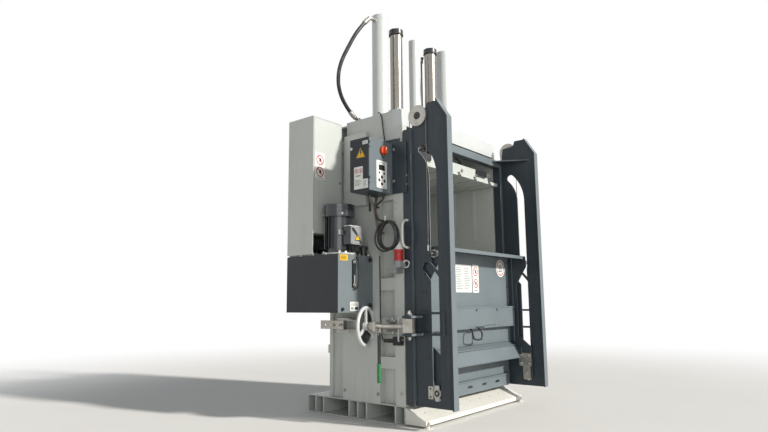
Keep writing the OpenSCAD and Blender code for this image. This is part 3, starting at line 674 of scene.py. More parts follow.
def banSign(radius, x=0.0, y=0.0):
    # red ring with a bar across a plain block
    return [(circle(radius, 36, 0, x, y), 0.25, 0.45, "labelRed"),
            (circle(radius * 0.80, 36, 0, x, y), 0.25, 0.55, "label"),
            (strip(radius * 0.55, radius * 0.7, x + radius * 0.05, y), 0.25, 0.62, "labelBlack"),
            (strip(radius * 1.7, radius * 0.17, x, y, -0.78), 0.25, 0.70, "labelRed")]


def triangleSign(size, x=0.0, y=0.0):
    # yellow triangle with a bolt of lightning
    outer = [(x - size / 2, y - size * 0.43), (x + size / 2, y - size * 0.43), (x, y + size * 0.43)]
    inner = [(x + (a - x) * 0.72, y - size * 0.03 + (b - y) * 0.72) for a, b in outer]
    bolt = [(x - size * 0.02, y + size * 0.20), (x + size * 0.08, y + size * 0.20), (x + size * 0.02, y + size * 0.02),
            (x + size * 0.10, y + size * 0.02), (x - size * 0.04, y - size * 0.26), (x, y - size * 0.06),
            (x - size * 0.09, y - size * 0.06)]
    return [(outer, 0.25, 0.45, "labelBlack"), (inner, 0.25, 0.6, "labelYellow"), (bolt, 0.25, 0.75, "labelBlack")]


# loading flap: front planes of its folded sheet, from the shelf on top to the beam at the bottom
flap = {"shelf": -706, "panel": -568, "apron": -612, "beam": -604, "wide": 1180}


def stickFlap():
    panel("flapNotice", (-93, flap["panel"], 950), "-Y", [(roundRect(222, 200, 6), 0, 0.3, "label")]
          + textLines(92, 160, 13, x=-52, seed=3) + textLines(92, 160, 13, x=54, seed=4), "loading_flap")
    panel("flapWarningStrip", (76, flap["panel"], 952), "-Y", [(roundRect(88, 206, 8), 0, 0.3, "label")]
          + banSign(34, 0, 52) + banSign(34, 0, -36)
          + [(strip(60, 7, 0, -88), 0.2, 0.5, "labelGrey")], "loading_flap")
    panel("flapRoundSign", (463, flap["panel"], 1043), "-Y", [(circle(68, 48), 0, 0.3, "label"),
          (circle(58, 48), 0.2, 0.4, "labelRed"), (circle(50, 48), 0.2, 0.5, "label")]
          + textLines(62, 60, 5, mat="labelRed", seed=5), "loading_flap")


# control box: its front, door and underside planes, and what sits on them
box = {"front": -378, "door": -915, "under": 1512, "panel": (-782, 1632), "switch": (-770, 1799), "knobRibs": 14,
       "rim": (159, 334), "glands": ((-736, -285, 15), (-700, -262, 12), (-764, -262, 12), (-800, -290, 12),
                                     (-700, -320, 12))}


def dressControlBox():
    front = box["front"]
    x, z = box["panel"]
    panel("membranePanel", (x, front, z), "-Y", [
        (roundRect(108, 186, 5), 0, 1.2, "label"),
        (roundRect(64, 38, 3, 0, 47), 1.0, 1.6, "labelBlack"), (roundRect(56, 30, 2, 0, 47), 1.5, 1.8, "display"),
        (circle(8, 24, 0, -25, 10), 1.0, 1.9, "labelBlack"), (circle(8, 24, 0, 25, 10), 1.0, 1.9, "labelBlack"),
        (circle(12, 24, 0, 0, -18), 1.0, 1.9, "labelBlack"), (circle(12, 24, 0, 0, -64), 1.0, 1.9, "labelBlack"),
        (circle(11, 24, 0, -27, -41), 1.0, 1.9, "labelBlack"), (circle(11, 24, 0, 27, -41), 1.0, 1.9, "labelBlack"),
        (circle(7, 24, 0, 0, -41), 1.0, 1.9, "labelGrey"), (strip(60, 4, 0, -84), 1.0, 1.5, "labelGrey"),
        (strip(70, 5, 0, 80), 1.0, 1.5, "labelGrey"),
    ], "frame")
    panel("membraneFrame", (x, front, z), "-Y", [(roundRect(114, 192, 7), 0, 0.7, "labelGrey")], "frame")
    x, z = box["switch"]
    panel("switchPlate", (x, front, z), "-Y", [
        (circle(33, 40), 0, 3, "plastic"), (roundRect(16, 64, 6, 0, -18), 0, 3, "plastic")], "frame", 0.8)
    panel("switchHaspTab", (x, front, z - 31), "-Y", [(roundRect(26, 22, 5), 0, 5, "plastic"),
          (circle(5, 16, 0, 0, -4), 5, 5.3, "labelGrey")], "frame", 0.6)
    bm = bmesh.new()
    prism(bm, mm(x, front - 3.2, z), faces["-Y"], circle(29, 40), 0, 14, 0, 2.5)
    for k in range(box["knobRibs"]):
        a = 2 * math.pi * k / box["knobRibs"]
        prism(bm, mm(x + 22 * math.cos(a), front - 3, z + 22 * math.sin(a)), faces["-Y"], circle(2.4, 8), 0, 11)
    prism(bm, mm(x, front - 34, z + 9), faces["-Y"], roundRect(4, 18, 1.5), 0, 0.4, 1)
    finishMesh("switchKnobRibs", bm, ["orange", "label"], "switch_knob")
    leaf = box["door"]
    panel("boxDoorSigns", (leaf, -296, 1680), "-X",
          triangleSign(104, 12, 92)
          + [(roundRect(78, 152, 5, -8, -80), 0, 0.3, "label"), (roundRect(46, 62, 4, 53, -124), 0, 0.3, "label")]
          + banSign(17, -26, -34) + banSign(17, 12, -34) + [(strip(44, 9, -12, -66), 0.25, 0.5, "labelGrey")]
          + textLines(62, 44, 5, x=-8, y=-112, seed=8) + textLines(36, 44, 5, x=53, y=-124, seed=9),
          "box_door")
    wide, tall = box["rim"]
    panel("boxDoorRim", (leaf, -295.5, 1690), "-X",
          [(roundRect(3, tall + 4, 1.4, s * wide / 2, 0), 0, 0.8, "dark") for s in (-1, 1)]
          + [(roundRect(wide - 3, 3, 1.4, 0, s * tall / 2), 0, 0.8, "dark") for s in (1, -1)],
          "box_door", 0.3)
    panel("boxNamePlate", (leaf, -348, 1834), "-X", [(roundRect(48, 24, 2), 0, 0.4, "label")]
          + textLines(40, 16, 3, seed=21), "box_door")
    bm = bmesh.new()
    for x, y, size in box["glands"]:
        lathe(bm, mm(x, y, box["under"]), faces["-Z"], [(size, 0), (size, 5), (size * 0.9, 6), (size * 0.9, 14),
                                                        (size * 0.7, 18), (size * 0.62, 19)], 12)
    finishMesh("cableGlands", bm, ["plastic"], "frame", 0, True)
    for k, (x, y) in enumerate(((-700, -262), (-764, -262))):
        tube("longConduit%d" % k, catmull([(x, y, 1500), (x - 4 + 2 * k, y - 2, 1470),
                                           (-722 - 6 * k, -262 - 2 * k, 1425),
                                           (-714, -262 - 16 * k, 1380), (-706, -262 - 16 * k, 1330),
                                           (-690, -262 - 14 * k, 1286), (-664, -262 - 14 * k, 1262),
                                           (-640, -262 - 14 * k, 1256)], 6), 7, "conduit", "frame", 3)
    for k, (x, y) in enumerate(((-700, -320), (-800, -290))):
        spread = k * 9
        tube("conduit%d" % k, catmull([(x, y, 1500), (x + 2, y + 1, 1484),
                                       (x * 0.5 - 345, y * 0.5 - 122, 1462 - spread),
                                       (-684, -246 + spread, 1448 - spread), (-662, -242 + spread, 1440 - spread),
                                       (-648, -242 + spread, 1437 - spread)], 6), 5.5,
             "conduit" if k else "cable", "frame", 2)
    tube("headCable", catmull([(-640, -230, 2128), (-655, -262, 2118), (-664, -285, 2073), (-666, -296, 2010),
                               (-668, -308, 1940), (-672, -316, 1905), (-688, -322, 1880)], 7), 4.5, "cable",
         "frame", 2)
    panel("upperSidePanel", (-655, -49, 1730), "-X", [(roundRect(214, 532, 3), 0, 34, "light")], "frame", 1.6)
    panel("bracketPlate", (-665, -350, 1692), "-X", [(roundRect(294, 356, 6), 0.2, 3.2, "dark")], "frame", 0.8)
    capBolts("bracketScrews", [((-671, -398, 1820), "-X", 15), ((-671, -398, 1600), "-X", 15),
                               ((-666, -225, 1870), "-X", 12), ((-666, -225, 1590), "-X", 12)], "frame")
    bm = bmesh.new()
    for z in (1451, 1409):
        lathe(bm, mm(-655, -395, z), faces["-X"], [(5.5, 0.0), (8.5, 0.0), (8.5, 0.6), (5.5, 0.6)], 20)
    finishMesh("columnHoleRims", bm, ["zinc"], "frame")


# oil tank: front plane, top of its lid and outer edges of the lid's rim
tank = {"front": -184, "top": 1100, "gaugeX": -854, "left": -999, "right": -666, "near": -183, "far": 309,
        "filler": (-706, -144, 1150), "fillerRibs": 20}


def dressTank():
    front = tank["front"]
    panel("tankYellowLabel", (-944, front, 1078), "-Y", [(roundRect(74, 38, 3), 0, 0.4, "labelYellow")]
          + textLines(60, 26, 4, mat="labelBlack", seed=11), "frame")
    panel("tankWhiteLabel", (-842, front, 760), "-Y", [(roundRect(86, 58, 3), 0, 0.4, "label")]
          + textLines(70, 20, 3, y=12, seed=12) + [(strip(26, 18, -22, -14), 0.25, 0.5, "labelGrey"),
                                                  (strip(34, 18, 18, -14), 0.25, 0.5, "labelBlack")], "frame")
    x = tank["gaugeX"]
    panel("gaugeWindow", (x, front - 12, 975), "-Y", [(roundRect(12, 148, 5), 0, 1.2, "display"),
          (roundRect(12, 60, 3, 0, -40), 1.0, 1.4, "labelGrey")], "frame")
    boltSet("gaugeBolts", [((x, front - 12, z), "-Y", 13) for z in (898, 1052)], "frame")
    tube("gaugeLine", catmull([(-842, -198, 1076), (-838, -214, 1082), (-834, -222, 1050), (-834, -222, 980),
                               (-838, -216, 900), (-846, -202, 876), (-852, -192, 872)], 7), 6, "cable", "frame")
    bm = bmesh.new()
    x, y, z = tank["filler"]
    lathe(bm, mm(x, y, z), faces["+Z"], [(30, 0), (31, 2), (31, 14), (27, 18), (12, 20)], 28)
    for k in range(tank["fillerRibs"]):
        a = 2 * math.pi * k / tank["fillerRibs"]
        prism(bm, mm(x + 30.5 * math.cos(a), y + 30.5 * math.sin(a), z + 2), faces["+Z"],
              strip(3, 4, 0, 0, a), 0, 11)
    finishMesh("fillerCap", bm, ["plastic"], "frame", 0, True)
    bm = bmesh.new()
    left, right, near, far = (tank[k] for k in ("left", "right", "near", "far"))
    for x0, x1, y0, y1 in ((left, right, near, near + 20), (left, right, far - 20, far),
                           (left, left + 20, near + 20, far - 20)):
        prism(bm, mm((x0 + x1) / 2, (y0 + y1) / 2, tank["top"]), faces["+Z"], roundRect(x1 - x0, y1 - y0, 2), 0, 2.4)
    finishMesh("tankLidRim", bm, ["tank"], "frame", 0.8)
    z = tank["top"] + 2
    boltSet("tankLidBolts", [((x, near + 10, z), "+Z", 13) for x in (-980, -880, -780, -690)]
            + [((x, far - 10, z), "+Z", 13) for x in (-980, -830, -700)]
            + [((left + 12, y, z), "+Z", 13) for y in (-60, 60, 180)], "frame")
    boltSet("tankSideBolts", [((-690, -190, 764), "-Y", 17), ((-690, -190, 1074), "-Y", 17)], "frame", "black")


# pump motor: its axis, the cowl and the terminal box on its front
motor = {"axis": (-860, -60), "foot": 1101, "cowl": 1372, "cowlTop": 1440, "radius": 108, "lid": (-858, -214, 1226)}


def dressMotor():
    cx, cy = motor["axis"]
    r = motor["radius"]
    boltSet("motorFlangeBolts", [((cx + 105 * math.cos(a), cy + 105 * math.sin(a), 1115), "+Z", 17)
                                 for a in (math.pi / 4 + k * math.pi / 2 for k in range(4))], "frame")
    bm = bmesh.new()
    for k in range(3):
        z = motor["cowl"] + k * 22
        lathe(bm, mm(cx, cy, z), faces["+Z"], [(r, 0), (r + 0.8, 1), (r + 0.8, 5), (r, 6)], 56)
    lathe(bm, mm(cx, cy, 1114), faces["+Z"], [(96, 0), (94, 8), (90, 20), (88, 26)], 48)
    top = motor["cowlTop"]
    lathe(bm, mm(cx, cy, top), faces["+Z"], [(r, 0), (107, 4), (102, 6.5), (92, 7)], 56)
    for ring in (30, 46, 62, 78):  # air grille
        lathe(bm, mm(cx, cy, top + 6), faces["+Z"], [(ring, 0), (ring + 3, 0), (ring + 3, 3), (ring, 3)], 40)
    finishMesh("motorCowlBands", bm, ["motor"], "frame", 0, True)
    bm = bmesh.new()
    lathe(bm, mm(cx, cy, motor["foot"]), faces["+Z"], [(121, 0), (121, 11), (118, 13.5), (96, 14)], 64)
    finishMesh("motorFlangeRing", bm, ["light"], "frame", 0, True)
    boltSet("cowlScrews", [((cx + r * math.cos(a), cy + r * math.sin(a), motor["cowl"] + 6),
                            (math.cos(a), math.sin(a), 0), 8) for a in (k * math.pi / 2 - 2.2 for k in range(4))],
            "frame")
    x, y, z = motor["lid"]
    sign = [(outline, low + 6.4, high + 6.4, mat) for outline, low, high, mat in triangleSign(60, 8, -8)]
    panel("terminalLid", (x, y, z), "-Y", [(roundRect(112, 118, 8), 0, 5, "grey"),
          (roundRect(96, 102, 6), 5, 6.4, "grey")] + sign, "frame", 0.5)
    panel("terminalCorner", (x, y - 6.4, z), "-Y",
          [([(-48, 51), (-48, 36), (-6, 2), (14, -22), (34, -51), (48, -51), (48, -44), (26, -12), (-8, 32), (-30, 51)],
            0, 0.5, "plastic")], "frame")
    panel("terminalCap", (x, y + 30, z + 62), "+Z", [(roundRect(118, 56, 6), 0, 5, "pale")], "frame", 0.8)
    capBolts("terminalScrews", [((x + a, y - 5, z + b), "-Y", 5) for a in (-48, 48) for b in (-51, 51)], "frame")
    bm = bmesh.new()
    lathe(bm, mm(-822, -178, 1168), faces["-Z"], [(13, 0), (13, 6), (11, 7), (11, 16), (8, 20)], 12)
    finishMesh("terminalGland", bm, ["plastic"], "frame", 0, True)
    tube("motorCable", catmull([(-822, -178, 1150), (-820, -180, 1134), (-806, -180, 1120), (-780, -170, 1112),
                                (-752, -140, 1110), (-730, -90, 1110), (-720, -40, 1112)], 8), 6.5, "cable", "frame")
    panel("motorNamePlate", (-924, -140, 1250), "-Y", [(roundRect(52, 34, 2), -6, 1.2, "labelGrey")], "frame")


# valve cabinet: front plane, middle and half size of its door seam
cabinet = {"front": 55, "middle": (-858, 1668), "seam": (134, 409), "lock": (-738, 1640)}


def dressCabinet():
    front = cabinet["front"]
    panel("cabinetSigns", (-935, front, 1733), "-Y", [(roundRect(92, 190, 6), 0, 0.3, "label")]
          + banSign(36, 0, 42) + banSign(36, 0, -42)
          + [(strip(64, 5, 0, -86), 0.2, 0.5, "labelGrey")], "frame")
    x, z = cabinet["middle"]
    wide, tall = cabinet["seam"]
    panel("cabinetDoorSeam", (x, front, z), "-Y", [
        (roundRect(2 * wide + 2, 2.4, 1, 0, tall - 1), 0, 0.7, "labelGrey"),
        (roundRect(2.4, 2 * tall, 1, -wide, 0), 0, 0.7, "labelGrey"),
        (roundRect(2.4, 2 * tall, 1, wide, 0), 0, 0.7, "labelGrey"),
        (roundRect(2 * wide + 2, 2.4, 1, 0, 1 - tall), 0, 0.7, "labelGrey")], "frame")
    x, z = cabinet["lock"]
    bm = bmesh.new()
    lathe(bm, mm(x, front, z), faces["-Y"], [(11, 0), (11, 3), (9, 5)], 24, 0)
    # painted shade: a black strip on the lock's face stands for its shaded key slot
    prism(bm, mm(x, front - 5, z), faces["-Y"], strip(3, 9), 0, 0.4, 1)
    finishMesh("cabinetLock", bm, ["zinc", "labelBlack"], "frame", 0, True)
    bm = bmesh.new()
    for x, y in ((-975, 150), (-975, 220), (-900, 150), (-840, 180), (-780, 150), (-780, 230)):
        lathe(bm, mm(x, y, 1116), faces["+Z"], [(14, 0), (14, 26), (10, 30), (10, 136)], 14)
    prism(bm, mm(-860, 190, 1150), faces["+Z"], roundRect(170, 150, 4), 0, 78, 0, 2)
    finishMesh("valvePipes", bm, ["black"], "frame", 0, True)
    boltSet("cabinetBolts", [((-716, y, z), "+X", 13) for y in (70, 300) for z in (1300, 1700, 2060)], "frame")


print("drawing details")
stickFlap()
dressControlBox()
dressTank()
dressMotor()
dressCabinet()
print("boxes dressed")


def bead(name, runs, body, radius=3.2, mat="light"):
    # weld beads: wavy runs along the seams
    bm = bmesh.new()
    for start, end in runs:
        a, b = Vector(start), Vector(end)
        way = (b - a).normalized()
        axes = frameOn(way)
        length = (b - a).length
        count = max(2, int(length / 9))
        profile = [(0.6, 0)]
        for i in range(count):
            at = (i + 0.5) * length / count
            profile += [(radius * random.uniform(0.78, 0.88), at - 3), (radius * random.uniform(0.95, 1.1), at + 1)]
        profile.append((0.6, length))
        lathe(bm, a * 0.001, axes, profile, 6)
    return finishMesh(name, bm, [mat], body, 0, True)


def weldSeams():
    bead("baseWelds", [((-652, y, 120), (-652, y + s, 120)) for y, s in ((-243, 100), (-40, 120), (-370, 100))]
         + [((-655, -455, 121), (-655, -375, 121)), ((-600, -452, 127), (600, -452, 127))], "frame")
    for side in (-1, 1):
        x = 655 * side
        runs = []
        for z0, z1 in ((351, 424), (866, 946), (581, 680)):
            for z in (z0, z1):
                runs.append(((x - 4 * side, -374, z), (x - 4 * side, -244, z)))
        runs.append(((x, -243, 1481), (x, 60, 1481)))
        bead("recessWelds%s" % ("Left" if side < 0 else "Right"), runs, "frame", 3)
        bead("postWelds%s" % ("Left" if side < 0 else "Right"),
             [((637 * side, -526, z), (637 * side, -526, z + 120)) for z in (160, 420, 800, 1180, 1500, 1780)],
             "bale_door", 3, "dark")
    bead("headWelds", [((x - 70, -151, 2111), (x + 70, -151, 2111)) for x in (-238, 238)]
         + [((x - 70 * s, -150, 2111), (x - 70 * s, -30, 2111)) for x in (-238, 238) for s in (-1, 1)],
         "frame", 3.5, "white")
    bead("lintelWelds", [((-590, -527, 1926), (-480, -527, 1926)), ((480, -527, 1926), (590, -527, 1926))],
         "bale_door", 3, "dark")


# head: what stands on its top plate, and the tops of rods and cylinders
head = {"rods": (-238, 238), "cylinders": (-440, 440), "row": -90, "housing": 2270, "rodTop": 2900,
        "cylinderTop": 2985, "middleTop": 2915, "boltRing": 70}


def dressHead():
    row = head["row"]
    bolts = []
    for x in head["rods"]:
        for dx in (-58, 58):
            for y in (-140, -40):
                bolts.append(((x + dx, y, head["housing"]), "+Z", 15))
    boltSet("housingBolts", bolts, "frame")
    flange = []
    ring = head["boltRing"]
    for x in head["cylinders"]:
        for k in range(6):
            a = math.pi / 6 + k * math.pi / 3
            flange.append(((x + ring * math.cos(a), row + ring * math.sin(a), 2132), "+Z", 11))
    for k in range(4):
        a = math.pi / 4 + k * math.pi / 2
        flange.append(((56 * math.cos(a), row + 56 * math.sin(a), 2124), "+Z", 11))
    boltSet("cylinderFlangeBolts", flange, "frame")
    bm = bmesh.new()
    for x in head["rods"]:
        lathe(bm, mm(x, row, head["housing"]), faces["+Z"], [
            (50.5, 0), (60, 0), (60, 5), (56, 9), (51.5, 10), (50.5, 9)], 48)
    finishMesh("wiperRings", bm, ["black"], "frame", 0, True)
    bm = bmesh.new()
    top = head["cylinderTop"]
    for x in head["cylinders"]:
        lathe(bm, mm(x, row, top - 35), faces["+Z"], [(62.6, 0), (63.2, 2), (63.2, 6), (62.6, 8)], 56)
        lathe(bm, mm(x, row, top), faces["+Z"], [(58, -0.5), (56, 0), (12, 0), (11, 0)], 48)
    lathe(bm, mm(0, row, head["middleTop"]), faces["+Z"], [(42.6, 0), (43.2, 2), (43.2, 6), (42.6, 8)], 48)
    finishMesh("tubeEndWelds", bm, ["white"], "frame", 0, True)
    bm = bmesh.new()
    top = head["rodTop"]
    for x in head["rods"]:
        lathe(bm, mm(x, row, top), faces["+Z"], [(57, 0), (58.5, 3), (58.5, 12), (57, 15)], 48)
        for k in range(6):
            a = k * math.pi / 3
            prism(bm, mm(x + 45 * math.cos(a), row + 45 * math.sin(a), top + 45), faces["+Z"], circle(7, 6), 0, 5)
    finishMesh("capCollars", bm, ["black"], "press_ram", 0, True)
    for k, x in enumerate((-190, 196)):
        tube("switchCable%d" % k, catmull([(x, -30, 2280), (x + 6, -20, 2420), (x - 3, -18, 2600), (x + 5, -22, 2780),
                                           (x, -30, 2880)], 8), 5, "cable", "frame", 2)
        panel("proximityArm%d" % k, (x + 2, -30, 2860), "-Y", [(roundRect(26, 54, 3), -4, 4, "zinc"),
              (roundRect(12, 20, 3, 0, 14), 4, 16, "black")], "frame", 0.6)
        panel("proximityPost%d" % k, (x + 2, -24, 2560), "+Y", [(roundRect(20, 580, 2), -3, 3, "zinc")], "frame", 0.6)
        panel("proximityFoot%d" % k, (x + 2, -24, 2272), "+Z", [(roundRect(30, 34, 3), -2, 4, "zinc")], "frame", 0.6)


# platen: hoses above it as both ends in x and their plane, fittings, strap guides and bolts along its front
platen = {"hoses": ((-330, -150, -330), (-120, 90, -360), (120, 330, -320), (-520, -380, -300)),
          "fittings": (-330, -150, -120, 90, 120, 330, -520, -380), "guides": (-470, -240, -10, 220, 450),
          "bolts": (-540, -330, -110, 110, 330, 540)}


def dressPlaten():
    for k, (x0, x1, y) in enumerate(platen["hoses"]):
        tube("platenHose%d" % k, catmull([(x0, y, 1866), (x0 + 20, y - 6, 1905), ((x0 + x1) / 2, y - 14, 1938),
                                          (x1 - 20, y - 4, 1908), (x1, y, 1866)], 7), 9, "hose", "press_ram")
    bm = bmesh.new()
    for x in platen["fittings"]:
        lathe(bm, mm(x, -330, 1855), faces["+Z"], [(15, -3), (15, 12), (12, 13), (12, 26)], 6)
    for x in (-400, 400):
        prism(bm, mm(x, -445, 1820), faces["-Y"], roundRect(150, 46, 6), 7, 26, 0, 2)
    finishMesh("platenFittings", bm, ["black"], "press_ram", 0, True)
    blocks = [(roundRect(34, 20, 4, x, 0), 0, 14, "zinc") for x in platen["guides"]]
    panel("strapGuides", (0, -489, 1752), "-Y", blocks, "press_ram", 1.0)
    boltSet("platenBolts", [((x, -452, 1800), "-Y", 17) for x in platen["bolts"]], "press_ram")


# bale door: outer and inner plane of the webs, the slot's plane, roller heights, bracket and rope pulley
door = {"web": 636, "inside": 628, "slot": -690, "upper": 1091, "lower": 221, "bracket": (604, -682, 330),
        "pulley": (651.5, -582, 2031), "sill": -541, "handle": (-655, -495, 1142, 1323)}


def dressDoor():
    web, slot, upper, lower = (door[k] for k in ("web", "slot", "upper", "lower"))
    for side, tag in ((-1, "Left"), (1, "Right")):
        x = side * door["inside"]
        inner = "+X" if side < 0 else "-X"
        outer = "-X" if side < 0 else "+X"
        # painted shade: on the outer face of each web, two black squares, each on a slightly larger square of the
        # door's coat, stand for the shaded insides of holes
        bm = bmesh.new()
        for y, z in ((-600, 847), (-613, 431)):
            prism(bm, mm(side * web, y, z), faces[outer], roundRect(22, 22, 3), 0, 0.5, 0)
            prism(bm, mm(side * web, y, z), faces[outer], roundRect(28, 28, 4), 0, 0.3, 1)
        finishMesh("webHoleShades" + tag, bm, ["labelBlack", "dark"], "bale_door")
        panel("keeperPlate" + tag, (side * web, -643, 222), outer, [(roundRect(36, 78, 4), 0, 5, "zinc"),
              (circle(6, 20, 0, 0, 24), 5, 6, "black"), (circle(6, 20, 0, 0, -24), 5, 6, "black")], "bale_door", 0.8)
        panel("rollerCarrier" + tag, (side * (web + 0.4), slot, lower), outer, [
            (roundRect(34, 96, 8), 0.1, 2.4, "zinc"), (circle(28, 40), 2.2, 3.8, "zinc"),
            (circle(20, 40), 3.6, 4.8, "black"), (circle(8, 6), 4.7, 5.8, "zinc")], "loading_flap", 0.3)
        for name, z, wide, high in (("slotPatchUpper", 930, 70, 170), ("slotPatchLower", 300, 80, 230)):
            panel(name + tag, (x, -770, z), inner, [(roundRect(wide, high, 3), 0, 2.5, "dark")], "bale_door", 0.8)
        bm = bmesh.new()
        axes = faces[outer]
        x, y, z = door["pulley"]
        lathe(bm, mm(side * x, y, z), axes, [(26, -1), (26, 1), (24, 4), (17, 5), (17, 2), (11, 2), (11, 7), (9, 8)],
              32)
        finishMesh("pulleyHub" + tag, bm, ["black"], tag.lower() + "_rope_pulley", 0, True)
        bm = bmesh.new()
        lathe(bm, mm(side * 650, slot, upper), axes, [(19, 0), (19, 3.4), (17, 4), (8, 4.2)], 32, 1)
        lathe(bm, mm(side * 645.5, -650, upper + 25), faces["+Z"],
              [(7, -6), (7.5, 0), (7.5, 26), (5, 34), (3.4, 36)], 16)
        finishMesh("ropeSocket" + tag, bm, ["zinc", "black"], "loading_flap", 0, True)
        boltSet("rollerNuts" + tag, [((side * 654, slot, upper), outer, 13)], "loading_flap", washer=False)
        x, y, z = door["bracket"]
        panel("rollerBracket" + tag, (side * x, y, z), inner, [
            (roundRect(104, 100, 10), 0, 8, "zinc"), (roundRect(60, 130, 10, 10 * side, -86), 0, 6, "zinc")],
            "loading_flap", 1.0)
        bolts = [((side * (x - 8), y + a, z + b), inner, 17) for a in (-34, 34) for b in (-30, 30)]
        boltSet("rollerBracketBolts" + tag, bolts + [((side * (x - 6), slot, 230), inner, 19)], "loading_flap")
    bm = bmesh.new()
    for i in range(5):
        x = -400 + 200 * i
        prism(bm, mm(x, door["sill"], 176), faces["-Y"], roundRect(60, 16, 7), 0, 1.2, 1)
    prism(bm, mm(0, door["sill"], 217), faces["-Y"], roundRect(1186, 8, 3), 0, 6, 0, 1)
    finishMesh("doorSillEdge", bm, ["dark", "black"], "bale_door")
    x, y, low, high = door["handle"]
    panel("postScrewPlate", (x, y, 1600), "-X", [(roundRect(40, 90, 4), 0, 4, "dark")], "bale_door", 0.8)
    capBolts("postScrews", [((x - 4, y, z), "-X", 9) for z in (1570, 1630)], "bale_door")
    bm = bmesh.new()
    for z in (low, high):
        lathe(bm, mm(x, y, z), faces["-X"], [(14, 0), (14, 3), (10, 6), (8.2, 8)], 24)
    finishMesh("handleFeet", bm, ["dark"], "bale_door", 0, True)
    bent = ((-656, high), (-676, high), (-697, high - 9), (-712, high - 31), (-716, 1258), (-716, 1206),
            (-712, low + 31), (-697, low + 9), (-676, low), (-656, low))
    piece = tube("doorHandleBar", catmull([(x, y, z) for x, z in bent], 7), 8.5, "pale", "bale_door", 5)
    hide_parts("door_handle")


def dressFlap():
    bm = bmesh.new()
    prism(bm, mm(0, flap["shelf"], 1129), faces["-Y"], roundRect(1176, 24, 6), 0, 2.0, 0, 1)
    for plane, z, high, r, thick in (("apron", 740, 8, 3, 3), ("apron", 596, 8, 3, 3), ("panel", 478, 10, 4, 5),
                                     ("beam", 443, 8, 3, 5)):
        prism(bm, mm(0, flap[plane], z), faces["-Y"], roundRect(flap["wide"], high, r), 0, thick, 0, 1)
    finishMesh("flapFolds", bm, ["dark"], "loading_flap")
    boltSet("flapBolts", [((x, flap["panel"], z), "-Y", 13) for x in (-560, 560) for z in (780, 900, 1090)]
            + [((x, flap["apron"], 722), "-Y", 11) for x in (-570, -300, 0, 300, 570)], "loading_flap", "dark")
    panel("handlePlate", (-6, -640, 602), "-Y", [(roundRect(122, 10, 3), 0, 3, "black")], "loading_flap", 0.8)
    tube("bentHandle", catmull([(-92, -614, 590), (-100, -634, 575), (-104, -640, 548), (-96, -642, 526),
                                (-60, -642, 516), (0, -642, 516), (16, -642, 526), (22, -640, 548), (20, -634, 575),
                                (14, -614, 590)], 5), 7, "black", "loading_flap", 4)
    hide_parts("flap_handle")


# door lock: pin of the spindle, how far it stands open, wheel and hanging lever along the spindle
lock = {"pin": (-740, -560, 630), "open": 15.3, "wheel": 306, "rim": 120, "wire": 12, "threads": 28,
        "lever": (-19, 204), "grip": (-352, -232)}


def onSpindle(x, y, z):
    a = math.radians(lock["open"])
    px, py, pz = lock["pin"]
    return (px + x * math.cos(a) - y * math.sin(a), py + x * math.sin(a) + y * math.cos(a), pz + z)


